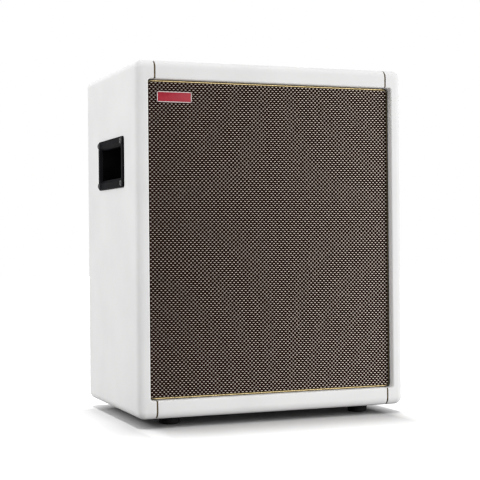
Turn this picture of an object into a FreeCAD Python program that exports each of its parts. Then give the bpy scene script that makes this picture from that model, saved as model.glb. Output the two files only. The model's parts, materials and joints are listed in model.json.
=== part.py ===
import FreeCAD, Part
import math
import os

# Compact upright guitar speaker cabinet, in millimetres.
# X runs to the right, the grille faces -Y and Z is up from the floor. The origin is on the floor below the middle.

V = FreeCAD.Vector
X_AXIS = V(1, 0, 0)
Y_AXIS = V(0, 1, 0)
Z_AXIS = V(0, 0, 1)
SIDES = (-1, 1)
same_point = 0.001

# Body, measured over its covering
cab_width = 414.0
cab_depth = 277.0
cab_height = 500.0
outer_edge_radius = 11.5
inner_edge_radius = 2.5
opening_corner_radius = 4.0
board_thickness = 16.0
covering_thickness = 1.0
front_rail_thickness = 8.3
corner_finger_count = 11
seam_inset = 9.4
seam_width = 2.6

# Fits shared by many pieces
cut_overrun = 2.0
panel_clearance = 0.5
hole_clearance = 0.1
seat_gap = 0.3
running_clearance = 0.05
screw_crown_share = 0.7

# Rubber feet
foot_height = 12.0
foot_top_radius = 15.2
foot_bottom_radius = 14.4
foot_edge_chamfer = 1.2
foot_bore_radius = 7.0
foot_bore_depth = 5.0
foot_inset_x = 57.5
foot_inset_y = 42.5
foot_screw_radius = 2.2
foot_screw_bite = 11.0
foot_screw_head_radius = 5.0
foot_screw_head_height = 3.0

# Grille
grille_recess = 10.0
cloth_thickness = 1.2
grille_frame_thickness = 12.0
grille_member_width = 28.0
grille_bar_width = 18.0
grille_corner_radius = 4.0
piping_diameter = 2.6
piping_gap = 0.1
pad_thickness = 2.5
pad_width = 24.0
pad_length = 40.0
pad_place_share = 0.82

# Badge
badge_width = 51.0
badge_height = 15.0
badge_thickness = 1.6
badge_border_width = 1.2
badge_border_thickness = 2.0
badge_corner_radius = 1.8
badge_from_side = 15.0
badge_from_top = 16.5

# Inner boards
baffle_thickness = 16.0
cleat_size = 16.0
back_panel_thickness = 12.0
back_panel_recess = 6.0
back_screw_inset = 8.0
back_screw_rows = 4
back_screw_columns = 3
wood_screw_radius = 2.0
wood_screw_bite = 14.0
wood_screw_head_radius = 4.0
wood_screw_head_height = 2.4

# Recessed side handles
handle_length = 134.0
handle_height = 73.5
handle_from_top = 138.0
handle_cleat_gap = 13.3
handle_flange_thickness = 2.5
handle_corner_radius = 5.0
handle_edge_radius = 1.2
handle_mouth_length = 110.0
handle_mouth_height = 47.0
handle_mouth_radius = 6.0
handle_mouth_flare = 4.0
handle_wall = 2.5
handle_pocket_depth = 42.0
handle_lip_depth = 9.0
handle_hook_rise = 6.0
handle_floor_rise = 9.0
handle_screw_inset = 6.5
handle_screw_radius = 1.8
handle_screw_bite = 12.0
handle_screw_head_radius = 4.2
handle_screw_head_height = 2.2

# Woofer: depths count back from the front of its basket flange
woofer_from_bottom = 64.0
woofer_horn_gap = 22.0
woofer_hole_inset = 16.0
gasket_thickness = 3.0
gasket_width = 14.0
basket_sheet = 1.6
basket_flange_width = 23.0
spider_shelf_depth = 52.0
spider_shelf_share = 0.62
spider_shelf_width = 10.0
basket_window_count = 6
basket_window_inner_share = 0.22
basket_window_outer_share = 0.82
basket_spoke_width = 16.0
surround_thickness = 1.0
surround_roll_radius = 6.0
surround_rim_width = 7.0
surround_lip_width = 5.0
cone_inset = 37.0
cone_thickness = 0.9
cone_depth = 38.0
cone_curve_radius = 120.0
neck_length = 5.0
dust_cap_share = 0.39
dust_cap_rise = 11.0
dust_cap_thickness = 0.8
former_share = 0.2
former_core = 7.0
former_thickness = 0.5
former_end_depth = 88.0
winding_thickness = 1.1
winding_length = 14.0
spider_thickness = 0.8
spider_lip_width = 3.0
spider_wave_count = 4
spider_wave_height = 3.0
air_gap = 0.9
plate_thickness = 8.0
plate_radius = 58.0
plate_chamfer = 1.5
magnet_radius = 62.0
magnet_bore_gap = 5.6
magnet_thickness = 18.0
pole_vent_radius = 9.0
basket_base_depth = 73.0
driver_screw_count = 8
driver_screw_circle_inset = 7.0
terminal_width = 24.0
terminal_height = 9.0
terminal_thickness = 2.0
lug_spacing = 12.0
lug_width = 5.0
lug_thickness = 0.8
lug_length = 13.0

# Horn tweeter: depths count back from the front of the baffle
horn_from_top = 112.0
horn_flange_size = 88.0
horn_flange_thickness = 4.0
horn_flange_radius = 7.0
horn_mouth_radius = 38.0
horn_throat_radius = 12.7
horn_depth = 48.0
horn_curve_radius = 62.0
horn_wall = 2.5
horn_screw_inset = 7.0
compression_radius = 36.0
compression_length = 38.0
compression_edge = 5.0
compression_flange_radius = 28.0
compression_flange_thickness = 5.0

# Amplifier chassis: a pressed dish let into the back panel
amp_from_top = 110.0
chassis_sheet = 1.5
chassis_flange_length = 256.0
chassis_flange_height = 114.0
chassis_flange_radius = 6.0
chassis_flange_width = 14.0
dish_radius = 8.0
dish_depth = 20.0
dish_draft = 4.0
chassis_screw_inset = 6.0
chassis_screw_radius = 1.6
chassis_screw_bite = 9.0
chassis_screw_head_radius = 3.2
chassis_screw_head_height = 1.9
chassis_screw_columns = 4
cover_margin = 10.0
cover_sheet = 1.2
cover_depth = 66.0
cover_radius = 6.0
spacer_length = 26.0
spacer_radius = 3.0
spacer_inset = 6.0
board_margin_x = 19.0
board_margin_z = 9.0
board_sheet = 1.6
transformer_length_share = 0.2
transformer_height = 32.0
transformer_depth = 24.0
transformer_place_share = 0.68
capacitor_radius_share = 0.047
capacitor_length = 24.0
capacitor_place_shares = (0.12, 0.34)
sink_length_share = 0.43
sink_height = 50.0
sink_base = 4.0
sink_depth = 24.0
sink_fin = 2.0
sink_fin_count = 9
sink_place_share = -0.45

# Mains inlet and power switch
inlet_place_share = 0.72
inlet_flange_length = 33.0
inlet_flange_height = 26.0
inlet_flange_thickness = 2.5
inlet_flange_radius = 2.5
inlet_wall = 1.9
inlet_mouth_length = 24.4
inlet_mouth_height = 16.8
inlet_key = 4.5
inlet_depth = 18.0
pin_width = 4.0
pin_thickness = 2.0
pin_length = 11.0
pin_spread = 7.0
pin_rise = 3.5
switch_place_share = 0.38
switch_window_length = 22.0
switch_window_width = 14.0
switch_wall = 2.0
switch_bezel_width = 2.5
switch_bezel_thickness = 2.0
switch_bezel_radius = 2.0
switch_depth = 16.0
rocker_pivot_depth = 2.0
rocker_valley_rise = 1.0
rocker_back_depth = 4.0
rocker_tilt = 9.0
rocker_pin_radius = 1.4
rocker_pin_length = 1.0

# Volume control
volume_place_share = 0.02
pot_radius = 8.0
pot_depth = 9.0
pot_bush_radius = 3.5
pot_bush_length = 6.0
shaft_radius = 3.0
shaft_reach = 13.0
knob_radius = 11.0
knob_top_radius = 9.6
knob_height = 14.0
knob_floor_gap = 0.6
knob_cup_radius = 7.0
knob_cup_depth = 7.0
knob_edge_chamfer = 1.0
knob_flute_count = 14
knob_flute_radius = 1.3
knob_mark_width = 1.2
knob_mark_depth = 0.8

# Voicing switch
voicing_place_share = -0.26
voicing_body_length = 12.0
voicing_body_height = 13.0
voicing_body_depth = 10.0
voicing_bush_radius = 3.4
voicing_bush_length = 5.0
lever_ball_radius = 2.3
lever_neck_radius = 1.1
lever_tip_radius = 1.8
lever_tip_chamfer = 0.8
lever_length = 14.0

# Jack sockets
jack_place_shares = (-0.52, -0.8)
jack_bore_radius = 3.25
jack_mouth_radius = 4.4
jack_bush_radius = 6.0
jack_bush_length = 4.0
jack_body_size = 15.0
jack_body_depth = 20.0

# Hexagonal nuts on the controls, measured across their flats
nut_margin = 2.4
nut_thickness = 2.0

# Wires inside, from the amplifier's cover to the drivers
wire_radius = 1.4
wire_bend_radius = 12.0
wire_tail = 6.0
woofer_wire_inset = 28.5

# Planes and half sizes that follow from the values above
front_y = -cab_depth / 2
back_y = cab_depth / 2
body_bottom = foot_height
body_top = foot_height + cab_height
body_middle = (body_bottom + body_top) / 2
side_x = cab_width / 2
board_out_x = side_x - covering_thickness
board_in_x = board_out_x - board_thickness
opening_half_width = board_in_x - covering_thickness
inner_half_height = cab_height / 2 - covering_thickness - board_thickness
opening_half_height = inner_half_height - front_rail_thickness - covering_thickness
back_opening_half_height = inner_half_height - covering_thickness
board_in_top = body_middle + inner_half_height
board_in_bottom = body_middle - inner_half_height
seam_x = opening_half_width - seam_inset
cloth_front_y = front_y + grille_recess
frame_front_y = cloth_front_y + cloth_thickness
frame_back_y = frame_front_y + grille_frame_thickness
baffle_front_y = frame_back_y + pad_thickness
baffle_back_y = baffle_front_y + baffle_thickness
panel_back_y = back_y - back_panel_recess
panel_front_y = panel_back_y - back_panel_thickness
grille_half_width = opening_half_width - panel_clearance - piping_diameter - piping_gap
grille_half_height = opening_half_height - panel_clearance - piping_diameter - piping_gap
baffle_half_width = board_in_x - seat_gap
baffle_half_height = inner_half_height - seat_gap
panel_half_width = opening_half_width - panel_clearance
panel_half_height = back_opening_half_height - panel_clearance
flange_front_y = baffle_back_y + gasket_thickness
horn_z = body_top - horn_from_top
horn_low_z = horn_z - horn_flange_size / 2
amp_z = body_top - amp_from_top
handle_z = body_top - handle_from_top
handle_y = baffle_back_y + cleat_size + handle_cleat_gap + handle_wall + handle_mouth_length / 2
woofer_wire_y = panel_front_y - woofer_wire_inset
chassis_face_y = panel_back_y + chassis_sheet
dish_floor_y = chassis_face_y - dish_depth
dish_inside_y = dish_floor_y - chassis_sheet
dish_length = chassis_flange_length - 2 * chassis_flange_width
dish_height = chassis_flange_height - 2 * chassis_flange_width
dish_floor_half_length = dish_length / 2 - dish_draft
foot_screw_tip_z = body_bottom + covering_thickness + foot_screw_bite


def block(x_span, y_span, z_span):
    """Box between two places on each axis."""
    size = [high - low for low, high in (x_span, y_span, z_span)]
    return Part.makeBox(*size, V(x_span[0], y_span[0], z_span[0]))


def centred(middle, half):
    """Span of a size that is centred on a place."""
    return (middle - half, middle + half)


def xz_plane(x, y, z):
    """Places (u, v) on an upright plane that faces along Y."""
    return lambda u, v: V(x + u, y, z + v)


def yz_plane(x, y, z):
    """Places (u, v) on an upright plane that faces along X."""
    return lambda u, v: V(x, y + u, z + v)


def outline(points, place):
    """Closed wire through points. A pair of points is an arc by way of the first to the second."""
    edges = []
    here = place(*points[0])
    for step in points[1:] + [points[0]]:
        is_arc = isinstance(step[0], tuple)
        there = place(*step[1]) if is_arc else place(*step)
        if is_arc:
            edges.append(Part.Arc(here, place(*step[0]), there).toShape())
        elif here.distanceToPoint(there) > same_point:
            edges.append(Part.makeLine(here, there))
        here = there
    return Part.Wire(edges)


def rounded_outline(half_u, half_v, radius, place):
    """Rectangle with round corners, centred on the plane's place."""
    turn = radius * (1 - math.sqrt(2) / 2)
    points = [(-half_u + radius, -half_v)]
    for u, v, flip in ((1, -1, False), (1, 1, True), (-1, 1, False), (-1, -1, True)):
        along = (u * (half_u - radius), v * half_v)
        up = (u * half_u, v * (half_v - radius))
        corner = (u * (half_u - turn), v * (half_v - turn))
        start, end = (up, along) if flip else (along, up)
        points += [start, (corner, end)]
    return outline(points, place)


def plate(half_u, half_v, radius, place, thickness):
    """Solid plate with round corners, from its plane along a thickness vector."""
    return Part.Face(rounded_outline(half_u, half_v, radius, place)).extrude(thickness)


def turned(points, centre, axis):
    """Solid turned about an axis from (radius, distance along the axis) points."""
    across = Y_AXIS if axis.x else X_AXIS

    def place(radius, along):
        return centre + across * radius + axis * along

    return Part.Face(outline(points, place)).revolve(centre, axis, 360)


def ring(inner, outer, start, end, centre, axis):
    """Ring or, with no inner radius, a disc."""
    return turned([(inner, start), (outer, start), (outer, end), (inner, end)], centre, axis)


def rod(radius, start, end, centre, axis):
    """Plain cylinder between two places along an axis."""
    return Part.makeCylinder(radius, end - start, centre + axis * start, axis)


def hexagon(across_flats, thickness, bore, centre, axis):
    """Nut with its seat at the centre, standing up along the axis."""
    reach = across_flats / math.sqrt(3)
    corners = [(reach * math.cos(math.radians(60 * k)), reach * math.sin(math.radians(60 * k))) for k in range(6)]
    face = Part.Face(outline(corners, xz_plane(centre.x, centre.y, centre.z)))
    return face.extrude(axis * thickness).cut(rod(bore, -thickness, 2 * thickness, centre, axis))


def screw(seat, axis, radius, length, head_radius, head_height):
    """Screw whose tapered head sits on its seat and whose shank runs along the axis."""
    crown = head_radius * screw_crown_share
    points = [
        (0, -head_height),
        (crown, -head_height),
        (head_radius, 0),
        (radius, 0),
        (radius, length),
        (0, length),
    ]
    return turned(points, seat, axis)


def holes(places, axis, radius, start, end):
    """Cylinders that clear the shanks of screws at these seats."""
    return [rod(radius + hole_clearance, start, end, place, axis) for place in places]


def group(solids):
    """Separate solids that share a name."""
    return Part.makeCompound(solids)


def mirrored(shape):
    """The same piece on the other side of the cabinet."""
    return shape.mirror(V(0, 0, 0), X_AXIS)


def rounded_path(points, bend):
    """Open path of straight runs joined by tangent arcs."""
    edges = []
    here = points[0]
    for before, corner, after in zip(points, points[1:], points[2:]):
        back = (before - corner).normalize()
        on = (after - corner).normalize()
        half_angle = back.getAngle(on) / 2
        reach = bend / math.tan(half_angle)
        middle = corner + (back + on).normalize() * (bend / math.sin(half_angle) - bend)
        start = corner + back * reach
        end = corner + on * reach
        edges += [Part.makeLine(here, start), Part.Arc(start, middle, end).toShape()]
        here = end
    edges.append(Part.makeLine(here, points[-1]))
    return Part.Wire(edges)


def tube(path, radius):
    """Round wire swept along a path."""
    start = path.Edges[0]
    circle = Part.Circle(start.Vertexes[0].Point, start.tangentAt(start.FirstParameter), radius)
    return path.makePipeShell([Part.Wire(circle.toShape())], True, True)


# Cabinet body

def mouth_edges(body, plane_y, half_width):
    """Inner edges of the opening in the front or the back face."""
    found = []
    for edge in body.Edges:
        box = edge.BoundBox
        flat = max(abs(box.YMin - plane_y), abs(box.YMax - plane_y)) < same_point
        inside = max(abs(box.XMin), abs(box.XMax)) < half_width + same_point
        if flat and inside:
            found.append(edge)
    return found


def hollow_body(inset):
    """Rounded body, shrunk by a skin, with its front and back openings as deep as the covering is turned in."""
    box = block(
        centred(0, side_x - inset),
        (front_y + inset, back_y - inset),
        (body_bottom + inset, body_top - inset),
    )
    body = box.makeFillet(outer_edge_radius - inset, box.Edges)
    half_width = opening_half_width + inset
    radius = opening_corner_radius + inset
    front = plate(
        half_width,
        opening_half_height + inset,
        radius,
        xz_plane(0, front_y - cut_overrun, body_middle),
        V(0, baffle_front_y - front_y + cut_overrun, 0),
    )
    back = plate(
        half_width,
        back_opening_half_height + inset,
        radius,
        xz_plane(0, panel_front_y, body_middle),
        V(0, back_y - panel_front_y + cut_overrun, 0),
    )
    body = body.cut(front).cut(back)
    lip_radius = inner_edge_radius - inset
    for plane_y in (front_y + inset, back_y - inset):
        body = body.makeFillet(lip_radius, mouth_edges(body, plane_y, half_width))
    return body


def corner_fingers(low_z, high_z):
    """Every second block of the corner joints along the depth, at the top or at the bottom."""
    pitch = (cab_depth - 2 * covering_thickness) / corner_finger_count
    start = front_y + covering_thickness
    blocks = []
    for side in SIDES:
        x_span = sorted((side * board_in_x, side * side_x))
        for k in range(1, corner_finger_count, 2):
            blocks.append(block(x_span, (start + k * pitch, start + (k + 1) * pitch), (low_z, high_z)))
    return blocks


def handle_hole():
    """Cut-out in the right side that takes the handle's pocket."""
    low = handle_z - handle_mouth_height / 2 - handle_wall - panel_clearance
    high = handle_z + handle_mouth_height / 2 + handle_hook_rise + handle_wall + panel_clearance
    half_length = handle_mouth_length / 2 + handle_wall + panel_clearance
    return block(
        (board_in_x - cut_overrun, side_x + cut_overrun),
        centred(handle_y, half_length),
        (low, high),
    )


def handle_screw_places():
    """Seats of the right handle's screws on its flange."""
    half_length = handle_length / 2 - handle_screw_inset
    half_height = handle_height / 2 - handle_screw_inset
    seat_x = side_x + handle_flange_thickness
    return [
        V(seat_x, handle_y + along * half_length, handle_z + up * half_height)
        for along in SIDES
        for up in SIDES
    ]


def foot_places():
    """Centres of the feet on the floor, by name."""
    x = side_x - foot_inset_x
    y = cab_depth / 2 - foot_inset_y
    return {
        "foot_front_left": V(-x, -y, 0),
        "foot_front_right": V(x, -y, 0),
        "foot_rear_left": V(-x, y, 0),
        "foot_rear_right": V(x, y, 0),
    }


def body_pieces():
    """Boards, rails and covering sheets, split from two nested rounded bodies."""
    core = hollow_body(covering_thickness)
    skin = hollow_body(0).cut(core)
    inside = block(
        centred(0, board_in_x),
        (baffle_front_y, panel_front_y),
        (board_in_bottom, board_in_top),
    )
    core = core.cut(inside)
    whole_y = (front_y, back_y)
    top_zone = block(centred(0, board_in_x), whole_y, (board_in_top, body_top))
    top_zone = top_zone.multiFuse(corner_fingers(board_in_top, body_top))
    bottom_zone = block(centred(0, board_in_x), whole_y, (body_bottom, board_in_bottom))
    bottom_zone = bottom_zone.multiFuse(corner_fingers(body_bottom, board_in_bottom))
    side_zone = block((board_in_x, side_x), whole_y, (body_bottom, body_top))
    right = core.common(side_zone).cut(top_zone).cut(bottom_zone)
    rail_zone = block(centred(0, board_in_x), (front_y, baffle_front_y), (body_middle, board_in_top))
    low_rail_zone = block(centred(0, board_in_x), (front_y, baffle_front_y), (board_in_bottom, body_middle))

    sheet_side = block((seam_x + seam_width / 2, side_x), whole_y, (body_bottom, body_top))
    sheet_middle = centred(0, seam_x - seam_width / 2)
    right_sheet = skin.common(sheet_side)
    top_sheet = skin.common(block(sheet_middle, whole_y, (body_middle, body_top)))
    bottom_sheet = skin.common(block(sheet_middle, whole_y, (body_bottom, body_middle)))

    foot_holes = holes(foot_places().values(), Z_AXIS, foot_screw_radius, body_bottom, foot_screw_tip_z)
    handle_cuts = holes(
        handle_screw_places(), -X_AXIS, handle_screw_radius, 0, handle_flange_thickness + handle_screw_bite
    )
    right = right.cut([handle_hole()] + handle_cuts)
    right_sheet = right_sheet.cut([handle_hole()] + handle_cuts)
    return {
        "left_side_panel": mirrored(right),
        "right_side_panel": right,
        "top_panel": core.common(top_zone).removeSplitter(),
        "bottom_panel": core.common(bottom_zone).cut(foot_holes).removeSplitter(),
        "top_front_rail": core.common(rail_zone),
        "bottom_front_rail": core.common(low_rail_zone),
        "covering_left": mirrored(right_sheet),
        "covering_right": right_sheet,
        "covering_top": top_sheet,
        "covering_bottom": bottom_sheet.cut(foot_holes),
    }


# Feet and handles

def foot(centre):
    """Tapered rubber foot with a deep bore for its screw."""
    points = [
        (foot_screw_radius + hole_clearance, foot_height),
        (foot_top_radius, foot_height),
        (foot_bottom_radius, foot_edge_chamfer),
        (foot_bottom_radius - foot_edge_chamfer, 0),
        (foot_bore_radius, 0),
        (foot_bore_radius, foot_bore_depth),
        (foot_screw_radius + hole_clearance, foot_bore_depth),
    ]
    return turned(points, centre, Z_AXIS)


def foot_screws():
    """One screw up through each foot."""
    length = foot_screw_tip_z - foot_bore_depth
    return group([
        screw(
            place + Z_AXIS * foot_bore_depth,
            Z_AXIS,
            foot_screw_radius,
            length,
            foot_screw_head_radius,
            foot_screw_head_height,
        )
        for place in foot_places().values()
    ])


def handle():
    """Right handle: a flange and a pocket with a lip above for the fingers to hook behind."""
    half_mouth = handle_mouth_height / 2
    pocket_back = handle_pocket_depth + handle_wall
    face_x = side_x + handle_flange_thickness

    def section(depth, up):
        return V(side_x - depth, handle_y - handle_mouth_length / 2, handle_z + up)

    hook = half_mouth + handle_hook_rise
    cavity = outline(
        [
            (-handle_flange_thickness, -half_mouth),
            (-handle_flange_thickness, half_mouth),
            (handle_lip_depth, half_mouth),
            (handle_lip_depth + handle_hook_rise, hook),
            (handle_pocket_depth, hook),
            (handle_pocket_depth, handle_floor_rise - half_mouth),
        ],
        section,
    )
    shell = outline(
        [
            (0, -half_mouth - handle_wall),
            (0, hook + handle_wall),
            (pocket_back, hook + handle_wall),
            (pocket_back, handle_floor_rise - half_mouth - handle_wall),
        ],
        section,
    )
    pocket = Part.Face(cavity).extrude(V(0, handle_mouth_length, 0))
    pocket = pocket.makeFillet(
        handle_mouth_radius,
        [e for e in pocket.Edges if e.BoundBox.XMax - e.BoundBox.XMin < same_point
         and e.BoundBox.ZMax - e.BoundBox.ZMin > handle_mouth_height / 2
         and e.BoundBox.XMax < side_x],
    )
    body = Part.Face(shell).extrude(V(0, handle_mouth_length + 2 * handle_wall, 0))
    body.translate(V(0, -handle_wall, 0))
    flange = plate(
        handle_length / 2,
        handle_height / 2,
        handle_corner_radius,
        yz_plane(side_x, handle_y, handle_z),
        X_AXIS * handle_flange_thickness,
    )
    rim = [e for e in flange.Edges if e.BoundBox.XMin > face_x - same_point]
    flange = flange.makeFillet(handle_edge_radius, rim)
    flare = Part.makeLoft(
        [
            rounded_outline(
                handle_mouth_length / 2 + grow,
                half_mouth + grow,
                handle_mouth_radius,
                yz_plane(face_x - handle_mouth_flare + grow, handle_y, handle_z),
            )
            for grow in (0, handle_mouth_flare)
        ],
        True,
        True,
    )
    cuts = holes(handle_screw_places(), -X_AXIS, handle_screw_radius, 0, handle_flange_thickness)
    return flange.fuse(body).cut([pocket, flare] + cuts)


def handle_screws():
    """Domed screws in the corners of both flanges."""
    right = [
        screw(
            place,
            -X_AXIS,
            handle_screw_radius,
            handle_flange_thickness + handle_screw_bite,
            handle_screw_head_radius,
            handle_screw_head_height,
        )
        for place in handle_screw_places()
    ]
    return group(right + [mirrored(s) for s in right])


# Grille and badge

def grille_window(low_z, high_z):
    """Opening between the members of the grille frame."""
    half_width = grille_half_width - grille_member_width
    middle = (low_z + high_z) / 2
    return plate(
        half_width,
        (high_z - low_z) / 2,
        grille_corner_radius,
        xz_plane(0, frame_front_y - cut_overrun, middle),
        V(0, grille_frame_thickness + 2 * cut_overrun, 0),
    )


def grille_frame():
    """Wooden frame with a bar between the two drivers."""
    frame = plate(
        grille_half_width,
        grille_half_height,
        grille_corner_radius,
        xz_plane(0, frame_front_y, body_middle),
        V(0, grille_frame_thickness, 0),
    )
    bar_low = horn_low_z - woofer_horn_gap / 2 - grille_bar_width / 2
    low = body_middle - grille_half_height + grille_member_width
    high = body_middle + grille_half_height - grille_member_width
    return frame.cut([grille_window(low, bar_low), grille_window(bar_low + grille_bar_width, high)])


def grille_cloth():
    """Cloth stretched over the front of the frame."""
    return plate(
        grille_half_width,
        grille_half_height,
        grille_corner_radius,
        xz_plane(0, cloth_front_y, body_middle),
        V(0, cloth_thickness, 0),
    )


def grille_piping():
    """Cord beading round the edge of the grille."""
    out = piping_gap + piping_diameter / 2
    path = rounded_outline(
        grille_half_width + out,
        grille_half_height + out,
        grille_corner_radius + out,
        xz_plane(0, cloth_front_y + piping_diameter / 2, body_middle),
    )
    return tube(path, piping_diameter / 2)


def grille_pads():
    """Hook-and-loop pads between the frame and the baffle."""
    x = grille_half_width - grille_member_width / 2
    z = grille_half_height * pad_place_share
    return group([
        block(
            centred(side * x, pad_width / 2),
            (frame_back_y, baffle_front_y),
            centred(body_middle + up * z, pad_length / 2),
        )
        for side in SIDES
        for up in SIDES
    ])


def badge_outline(inset, start_y, thickness):
    """Badge layer at the grille's upper left, inset from the badge's own edge."""
    x = badge_from_side + badge_width / 2 - opening_half_width
    z = body_middle + opening_half_height - badge_from_top - badge_height / 2
    return plate(
        badge_width / 2 - inset,
        badge_height / 2 - inset,
        badge_corner_radius - inset,
        xz_plane(x, start_y, z),
        V(0, thickness, 0),
    )


def badge_plate():
    """Bare coloured plate inside the border."""
    return badge_outline(badge_border_width, cloth_front_y - badge_thickness, badge_thickness)


def badge_border():
    """Narrow raised border."""
    outer = badge_outline(0, cloth_front_y - badge_border_thickness, badge_border_thickness)
    start = cloth_front_y - badge_border_thickness - cut_overrun
    return outer.cut(badge_outline(badge_border_width, start, badge_border_thickness + 2 * cut_overrun))


# Inner boards

def frame_cleats(start_y):
    """Four battens round the inside of the body."""
    y_span = (start_y, start_y + cleat_size)
    upright = (board_in_bottom + cleat_size, board_in_top - cleat_size)
    return group([
        block(centred(0, board_in_x), y_span, (board_in_bottom, board_in_bottom + cleat_size)),
        block(centred(0, board_in_x), y_span, (board_in_top - cleat_size, board_in_top)),
        block((-board_in_x, cleat_size - board_in_x), y_span, upright),
        block((board_in_x - cleat_size, board_in_x), y_span, upright),
    ])


def baffle_board():
    """Board with round holes for the woofer and the horn."""
    board = block(
        centred(0, baffle_half_width),
        (baffle_front_y, baffle_back_y),
        centred(body_middle, baffle_half_height),
    )
    woofer_hole = rod(woofer_hole_radius, -cut_overrun, baffle_thickness + cut_overrun,
                      V(0, baffle_front_y, woofer_z), Y_AXIS)
    horn_hole = rod(horn_mouth_radius + horn_wall + panel_clearance, -cut_overrun,
                    baffle_thickness + cut_overrun, V(0, baffle_front_y, horn_z), Y_AXIS)
    bites = holes(woofer_screw_places(), -Y_AXIS, wood_screw_radius, 0, wood_screw_bite)
    horn_bites = holes(horn_screw_places(), Y_AXIS, wood_screw_radius, 0, wood_screw_bite)
    return board.cut([woofer_hole, horn_hole] + bites + horn_bites)


def back_screw_places():
    """Seats of the screws round the edge of the back panel."""
    x = panel_half_width - back_screw_inset
    z = panel_half_height - back_screw_inset
    places = []
    for row in range(back_screw_rows):
        row_share = 2 * row / (back_screw_rows - 1) - 1
        places += [V(side * x, panel_back_y, body_middle + row_share * z) for side in SIDES]
    for column in range(1, back_screw_columns - 1):
        column_share = 2 * column / (back_screw_columns - 1) - 1
        places += [V(column_share * x, panel_back_y, body_middle + up * z) for up in SIDES]
    return places


def back_panel():
    """Removable back with the cut-out for the amplifier's dish."""
    panel = plate(
        panel_half_width,
        panel_half_height,
        opening_corner_radius,
        xz_plane(0, panel_front_y, body_middle),
        V(0, back_panel_thickness, 0),
    )
    grow = chassis_sheet + panel_clearance
    hole = plate(
        dish_length / 2 + grow,
        dish_height / 2 + grow,
        dish_radius + grow,
        xz_plane(0, panel_front_y - cut_overrun, amp_z),
        V(0, back_panel_thickness + 2 * cut_overrun, 0),
    )
    screws = holes(back_screw_places(), -Y_AXIS, wood_screw_radius, 0, back_panel_thickness)
    bites = holes(chassis_screw_places(), -Y_AXIS, chassis_screw_radius, 0, chassis_sheet + chassis_screw_bite)
    return panel.cut([hole] + screws + bites)


def back_cleats():
    """Battens that the back panel is screwed to."""
    length = back_panel_thickness + wood_screw_bite
    bites = holes(back_screw_places(), -Y_AXIS, wood_screw_radius, 0, length)
    cleats = frame_cleats(panel_front_y - cleat_size)
    return group([cleat.cut(bites) for cleat in cleats.Solids])


def back_panel_screws():
    """Screws through the back panel into its cleats."""
    return group([
        screw(
            place,
            -Y_AXIS,
            wood_screw_radius,
            back_panel_thickness + wood_screw_bite,
            wood_screw_head_radius,
            wood_screw_head_height,
        )
        for place in back_screw_places()
    ])


# Woofer

flange_radius = (horn_low_z - woofer_horn_gap - body_bottom - woofer_from_bottom) / 2
woofer_z = body_bottom + woofer_from_bottom + flange_radius
woofer_centre = V(0, flange_front_y, woofer_z)
woofer_hole_radius = flange_radius - woofer_hole_inset
basket_throat_radius = flange_radius - basket_flange_width
spider_shelf_radius = basket_throat_radius * spider_shelf_share
cone_radius = flange_radius - cone_inset
dust_cap_radius = cone_radius * dust_cap_share
former_radius = former_core + cone_radius * former_share
winding_radius = former_radius + winding_thickness
plate_bore_radius = winding_radius + air_gap
magnet_bore_radius = plate_bore_radius + magnet_bore_gap
pole_radius = former_radius - former_thickness - air_gap
top_plate_end = basket_base_depth + plate_thickness
magnet_end = top_plate_end + magnet_thickness
surround_inner = cone_radius - surround_lip_width
roll_centre_radius = cone_radius + surround_roll_radius
surround_outer = cone_radius + 2 * surround_roll_radius + surround_rim_width


def woofer_screw_places():
    """Seats behind the basket's flange, half a step from the top."""
    circle = flange_radius - driver_screw_circle_inset
    places = []
    for k in range(driver_screw_count):
        angle = 2 * math.pi * (k + 0.5) / driver_screw_count
        places.append(woofer_centre + V(circle * math.cos(angle), basket_sheet, circle * math.sin(angle)))
    return places


def woofer_gasket():
    """Seal between the basket's flange and the baffle."""
    outer = flange_radius
    gasket = ring(outer - gasket_width, outer, -gasket_thickness, 0, woofer_centre, Y_AXIS)
    return gasket.cut(holes(woofer_screw_places(), -Y_AXIS, wood_screw_radius, 0, gasket_thickness + basket_sheet))


def basket_window(k):
    """Opening between two spokes, cut straight back through the basket's slanted wall."""
    run = basket_throat_radius - spider_shelf_radius
    inner = spider_shelf_radius + run * basket_window_inner_share
    outer = spider_shelf_radius + run * basket_window_outer_share
    middle = 2 * math.pi * k / basket_window_count

    def place(radius, side):
        half = math.pi / basket_window_count - side_angle(radius)
        angle = middle + side * half
        return (radius * math.cos(angle), radius * math.sin(angle))

    def side_angle(radius):
        return math.asin(basket_spoke_width / 2 / radius)

    points = [
        place(inner, -1),
        place(outer, -1),
        (place(outer, 0), place(outer, 1)),
        place(inner, 1),
        (place(inner, 0), place(inner, -1)),
    ]
    face = Part.Face(outline(points, xz_plane(0, flange_front_y + basket_sheet, woofer_z)))
    return face.extrude(V(0, spider_shelf_depth, 0))


def woofer_basket():
    """Pressed steel frame: flange, slanted wall with windows, spider shelf and base."""
    shelf_inner = spider_shelf_radius - spider_shelf_width
    base_inner = plate_bore_radius
    front = [
        (flange_radius, 0),
        (basket_throat_radius, 0),
        (spider_shelf_radius, spider_shelf_depth),
        (shelf_inner, spider_shelf_depth),
        (shelf_inner - basket_sheet, basket_base_depth - basket_sheet),
        (base_inner, basket_base_depth - basket_sheet),
    ]
    back = [
        (base_inner, basket_base_depth),
        (shelf_inner, basket_base_depth),
        (shelf_inner + basket_sheet, spider_shelf_depth + basket_sheet),
        (spider_shelf_radius + basket_sheet, spider_shelf_depth + basket_sheet),
        (basket_throat_radius + basket_sheet, basket_sheet),
        (flange_radius, basket_sheet),
    ]
    body = turned(front + back, woofer_centre, Y_AXIS)
    windows = [basket_window(k) for k in range(basket_window_count)]
    return body.cut(windows + holes(woofer_screw_places(), -Y_AXIS, wood_screw_radius, 0, basket_sheet))


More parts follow.
